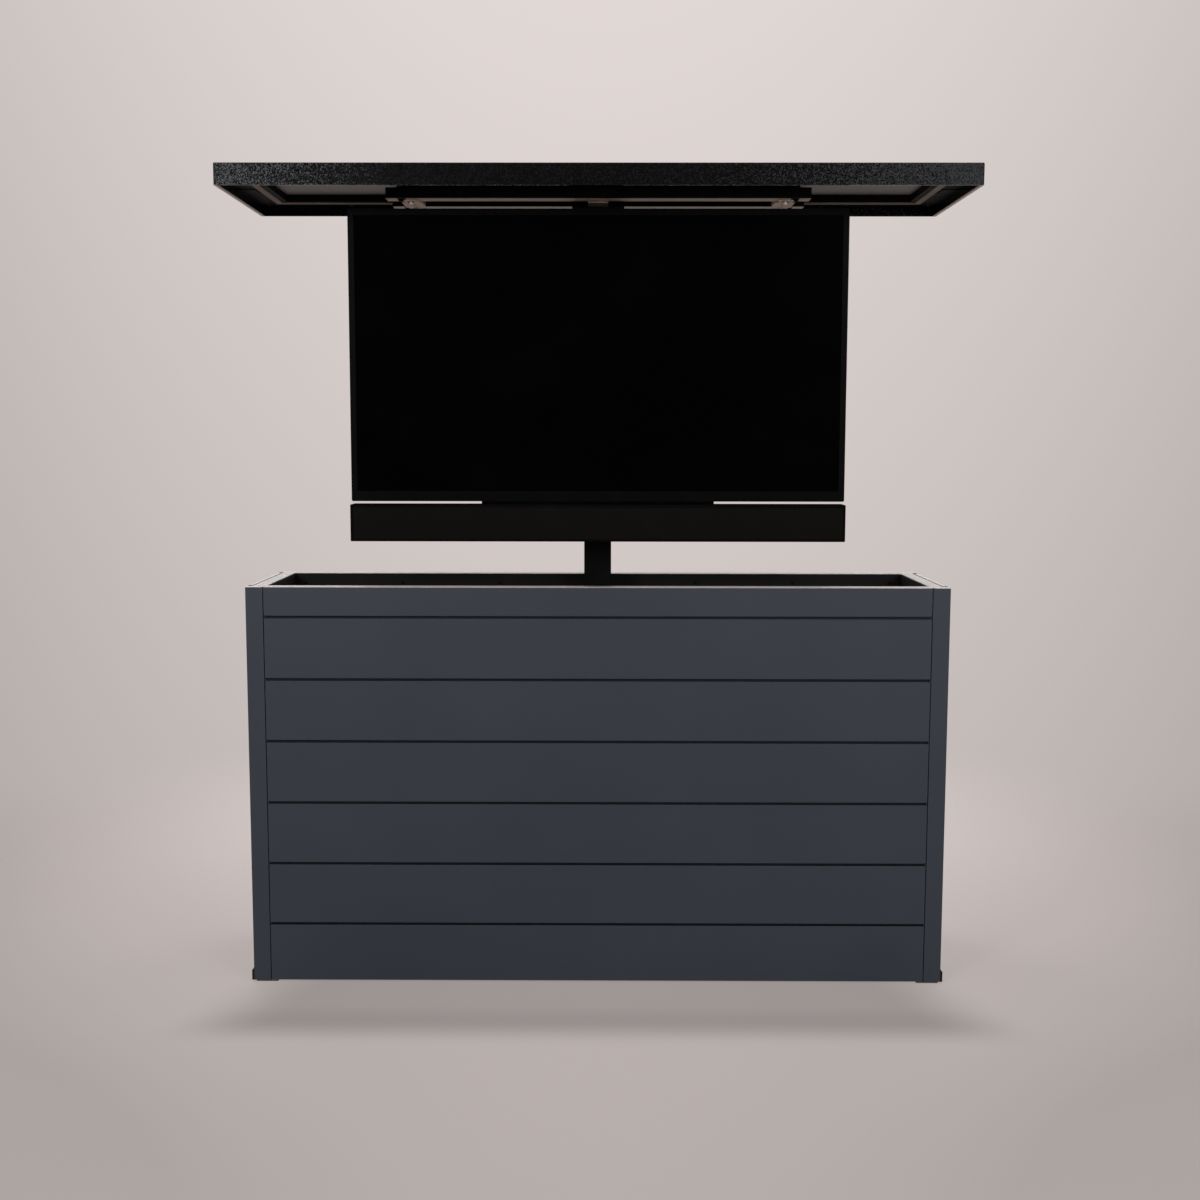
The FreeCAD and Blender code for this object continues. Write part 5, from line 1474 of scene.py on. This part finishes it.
@dataclass
class Studio:
    """Pale surroundings, floor, lamps and camera."""

    ambient: float = 0.37
    ambient_colour: Triple = (1.0, 0.985, 0.97)
    sky_fall: float = 1.66
    sky_least: float = 0.78
    floor_radius: float = 3.4
    floor_fade: Pair = (0.45, 0.98)
    floor_colour: Triple = (0.535, 0.477, 0.459)
    floor_rise: float = 0.152
    floor_fall: float = 0.100
    corner_fall: float = 0.070
    corner_span: Pair = (0.4, 1.3)
    floor_range: Pair = (0.70, 1.22)
    floor_glow: float = 0.7
    shade_ends: Pair = (0.58, 0.84)
    shade_taper: float = 0.35
    shade_starts: Pair = (0.15, 0.23)
    shade_stops: Pair = (0.49, 0.65)
    shade_depth: float = 0.28
    far_shade: Pair = (0.38, 0.48)
    far_shade_depth: float = 0.07
    lamps: tuple[Softbox, ...] = (
        Softbox("overhead", (0.0, 0.6, 4.6), (0.0, 0.0, 0.0), 5.0, 3.0, 150.0),
        Softbox("left_softbox", (-2.35, -4.10, 2.6), (0.0, 0.0, 1.5), 1.1, 1.2, 125.0, (0.93, 0.96, 1.0)),
        Softbox("right_softbox", (2.50, -4.10, 2.5), (0.0, 0.0, 1.3), 2.3, 2.0, 140.0, (0.93, 0.96, 1.0)),
        Softbox("left_rear_softbox", (-2.20, 3.20, 4.2), (0.0, 0.2, 1.0), 1.6, 1.6, 60.0, (0.96, 0.98, 1.0)),
        Softbox("right_rear_softbox", (2.20, 3.20, 4.2), (0.0, 0.2, 1.0), 1.6, 1.6, 45.0, (0.96, 0.98, 1.0)),
    )
    sky_stops: tuple[tuple[float, Triple], ...] = (
        (0.05, (0.440, 0.397, 0.378)),
        (0.226, (0.520, 0.468, 0.455)),
        (0.290, (0.590, 0.533, 0.516)),
        (0.75, (0.753, 0.687, 0.665)),
    )

    def surroundings(self) -> None:
        """Fills the world: a pale backdrop to the eye, plain light to everything else."""
        world = bpy.data.worlds.new("studio")
        world.use_nodes = True
        bpy.context.scene.world = world
        tree = Tree(world.node_tree)
        direction = tree.node("ShaderNodeTexCoord")
        across = tree.component(direction, 0)
        height = tree.component(direction, 2)
        ramp = tree.node("ShaderNodeValToRGB", {"stops": self.sky_stops}, {0: height + 0.5})
        edge = 1.0 - (across * across * self.sky_fall)
        dimmed = tree.vector("SCALE", {0: ramp, "Scale": edge.larger(self.sky_least)})
        backdrop = tree.node("ShaderNodeBackground", {}, {"Color": dimmed, "Strength": 1.0})
        light = tree.node("ShaderNodeBackground", {},
                          {"Color": self.ambient_colour, "Strength": self.ambient})
        mixed = tree.mixed(self.seen_directly(tree), light, backdrop)
        tree.node("ShaderNodeOutputWorld", {}, {"Surface": mixed})

    @staticmethod
    def seen_directly(tree: Tree) -> Wire:
        """1 for camera, glossy and transmission rays."""
        camera, glossy, through = (tree.node("ShaderNodeLightPath", output=index) for index in (0, 3, 6))
        return camera.larger(glossy).larger(through)

    def floor(self) -> None:
        """Lays a pale round floor, with a painted falloff of light and a painted shadow, that fades into the
        surroundings at its rim.
        """
        shape = Shape()
        bmesh.ops.create_circle(shape.mesh, cap_ends=True, segments=96, radius=self.floor_radius)
        paint = Paint("pale_floor")
        near, far = (share * self.floor_radius for share in self.floor_fade)
        fade = paint.vector("LENGTH", {0: paint.object_place}, "Value").above(near, far)
        across, along = paint.axis(0), paint.axis(1)
        # painted falloff of light: the floor is brighter towards the back and darker towards the sides, more
        # so near the front
        fall = (along * -1.0).above(*self.corner_span) * self.corner_fall + self.floor_fall
        level = 1.0 + along * self.floor_rise - across * across * fall
        level = level.clamped(*self.floor_range) * self.shade(across, along)
        colour = paint.vector("SCALE", {0: self.floor_colour, "Scale": level})
        matt = paint.node("ShaderNodeBsdfDiffuse", {}, {"Color": colour})
        even = paint.node("ShaderNodeEmission", {}, {"Color": colour})
        lit = paint.mixed(self.seen_directly(paint) * self.floor_glow, matt, even)
        whole = paint.mixed(fade, lit, paint.node("ShaderNodeBsdfTransparent"))
        paint.node("ShaderNodeOutputMaterial", {}, {"Surface": whole})
        shape.finished("floor", paint.material, outwards=False)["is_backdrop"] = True

    def shade(self, across: Wire, along: Wire) -> Wire:
        """Painted soft shadow on the floor along both long sides of the cabinet.

        Args:
            across: x of the point.
            along: y of the point.

        Returns:
            Its brightness, 1 on the open floor.
        """
        distance = along.absolute()
        ends = 1.0 - (across.absolute() - distance * self.shade_taper).above(*self.shade_ends)
        # painted shadow: a band of the floor in front of and behind the cabinet, darker in its far part
        zone = distance.above(*self.shade_starts) * (1.0 - distance.above(*self.shade_stops))
        depth = self.shade_depth + distance.above(*self.far_shade) * self.far_shade_depth
        return 1.0 - ends * zone * depth

    def build(self) -> None:
        """Builds the whole studio."""
        self.surroundings()
        self.floor()
        for lamp in self.lamps:
            lamp.build()
        StudioCamera().build()
        bpy.context.scene.view_settings.view_transform = "Standard"
        LOG.info("studio ready")


# ---------------------------------------------------------------- whole
def corners() -> list[list[float]]:
    """Lowest and highest corner of what shows."""
    return [list(corner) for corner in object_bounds()]


def main() -> None:
    """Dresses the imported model, adds the fine detail and sets up the studio."""
    logging.basicConfig(level=logging.INFO, format="%(name)s: %(message)s")
    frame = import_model()
    Studio().build()
    palette = Palette()
    repeater = Repeater()
    for assembly in (CladBody, Well, LiftColumn, Television, LiftingLid):
        assembly(frame, palette, repeater).build()


if __name__ == "__main__":
    main()
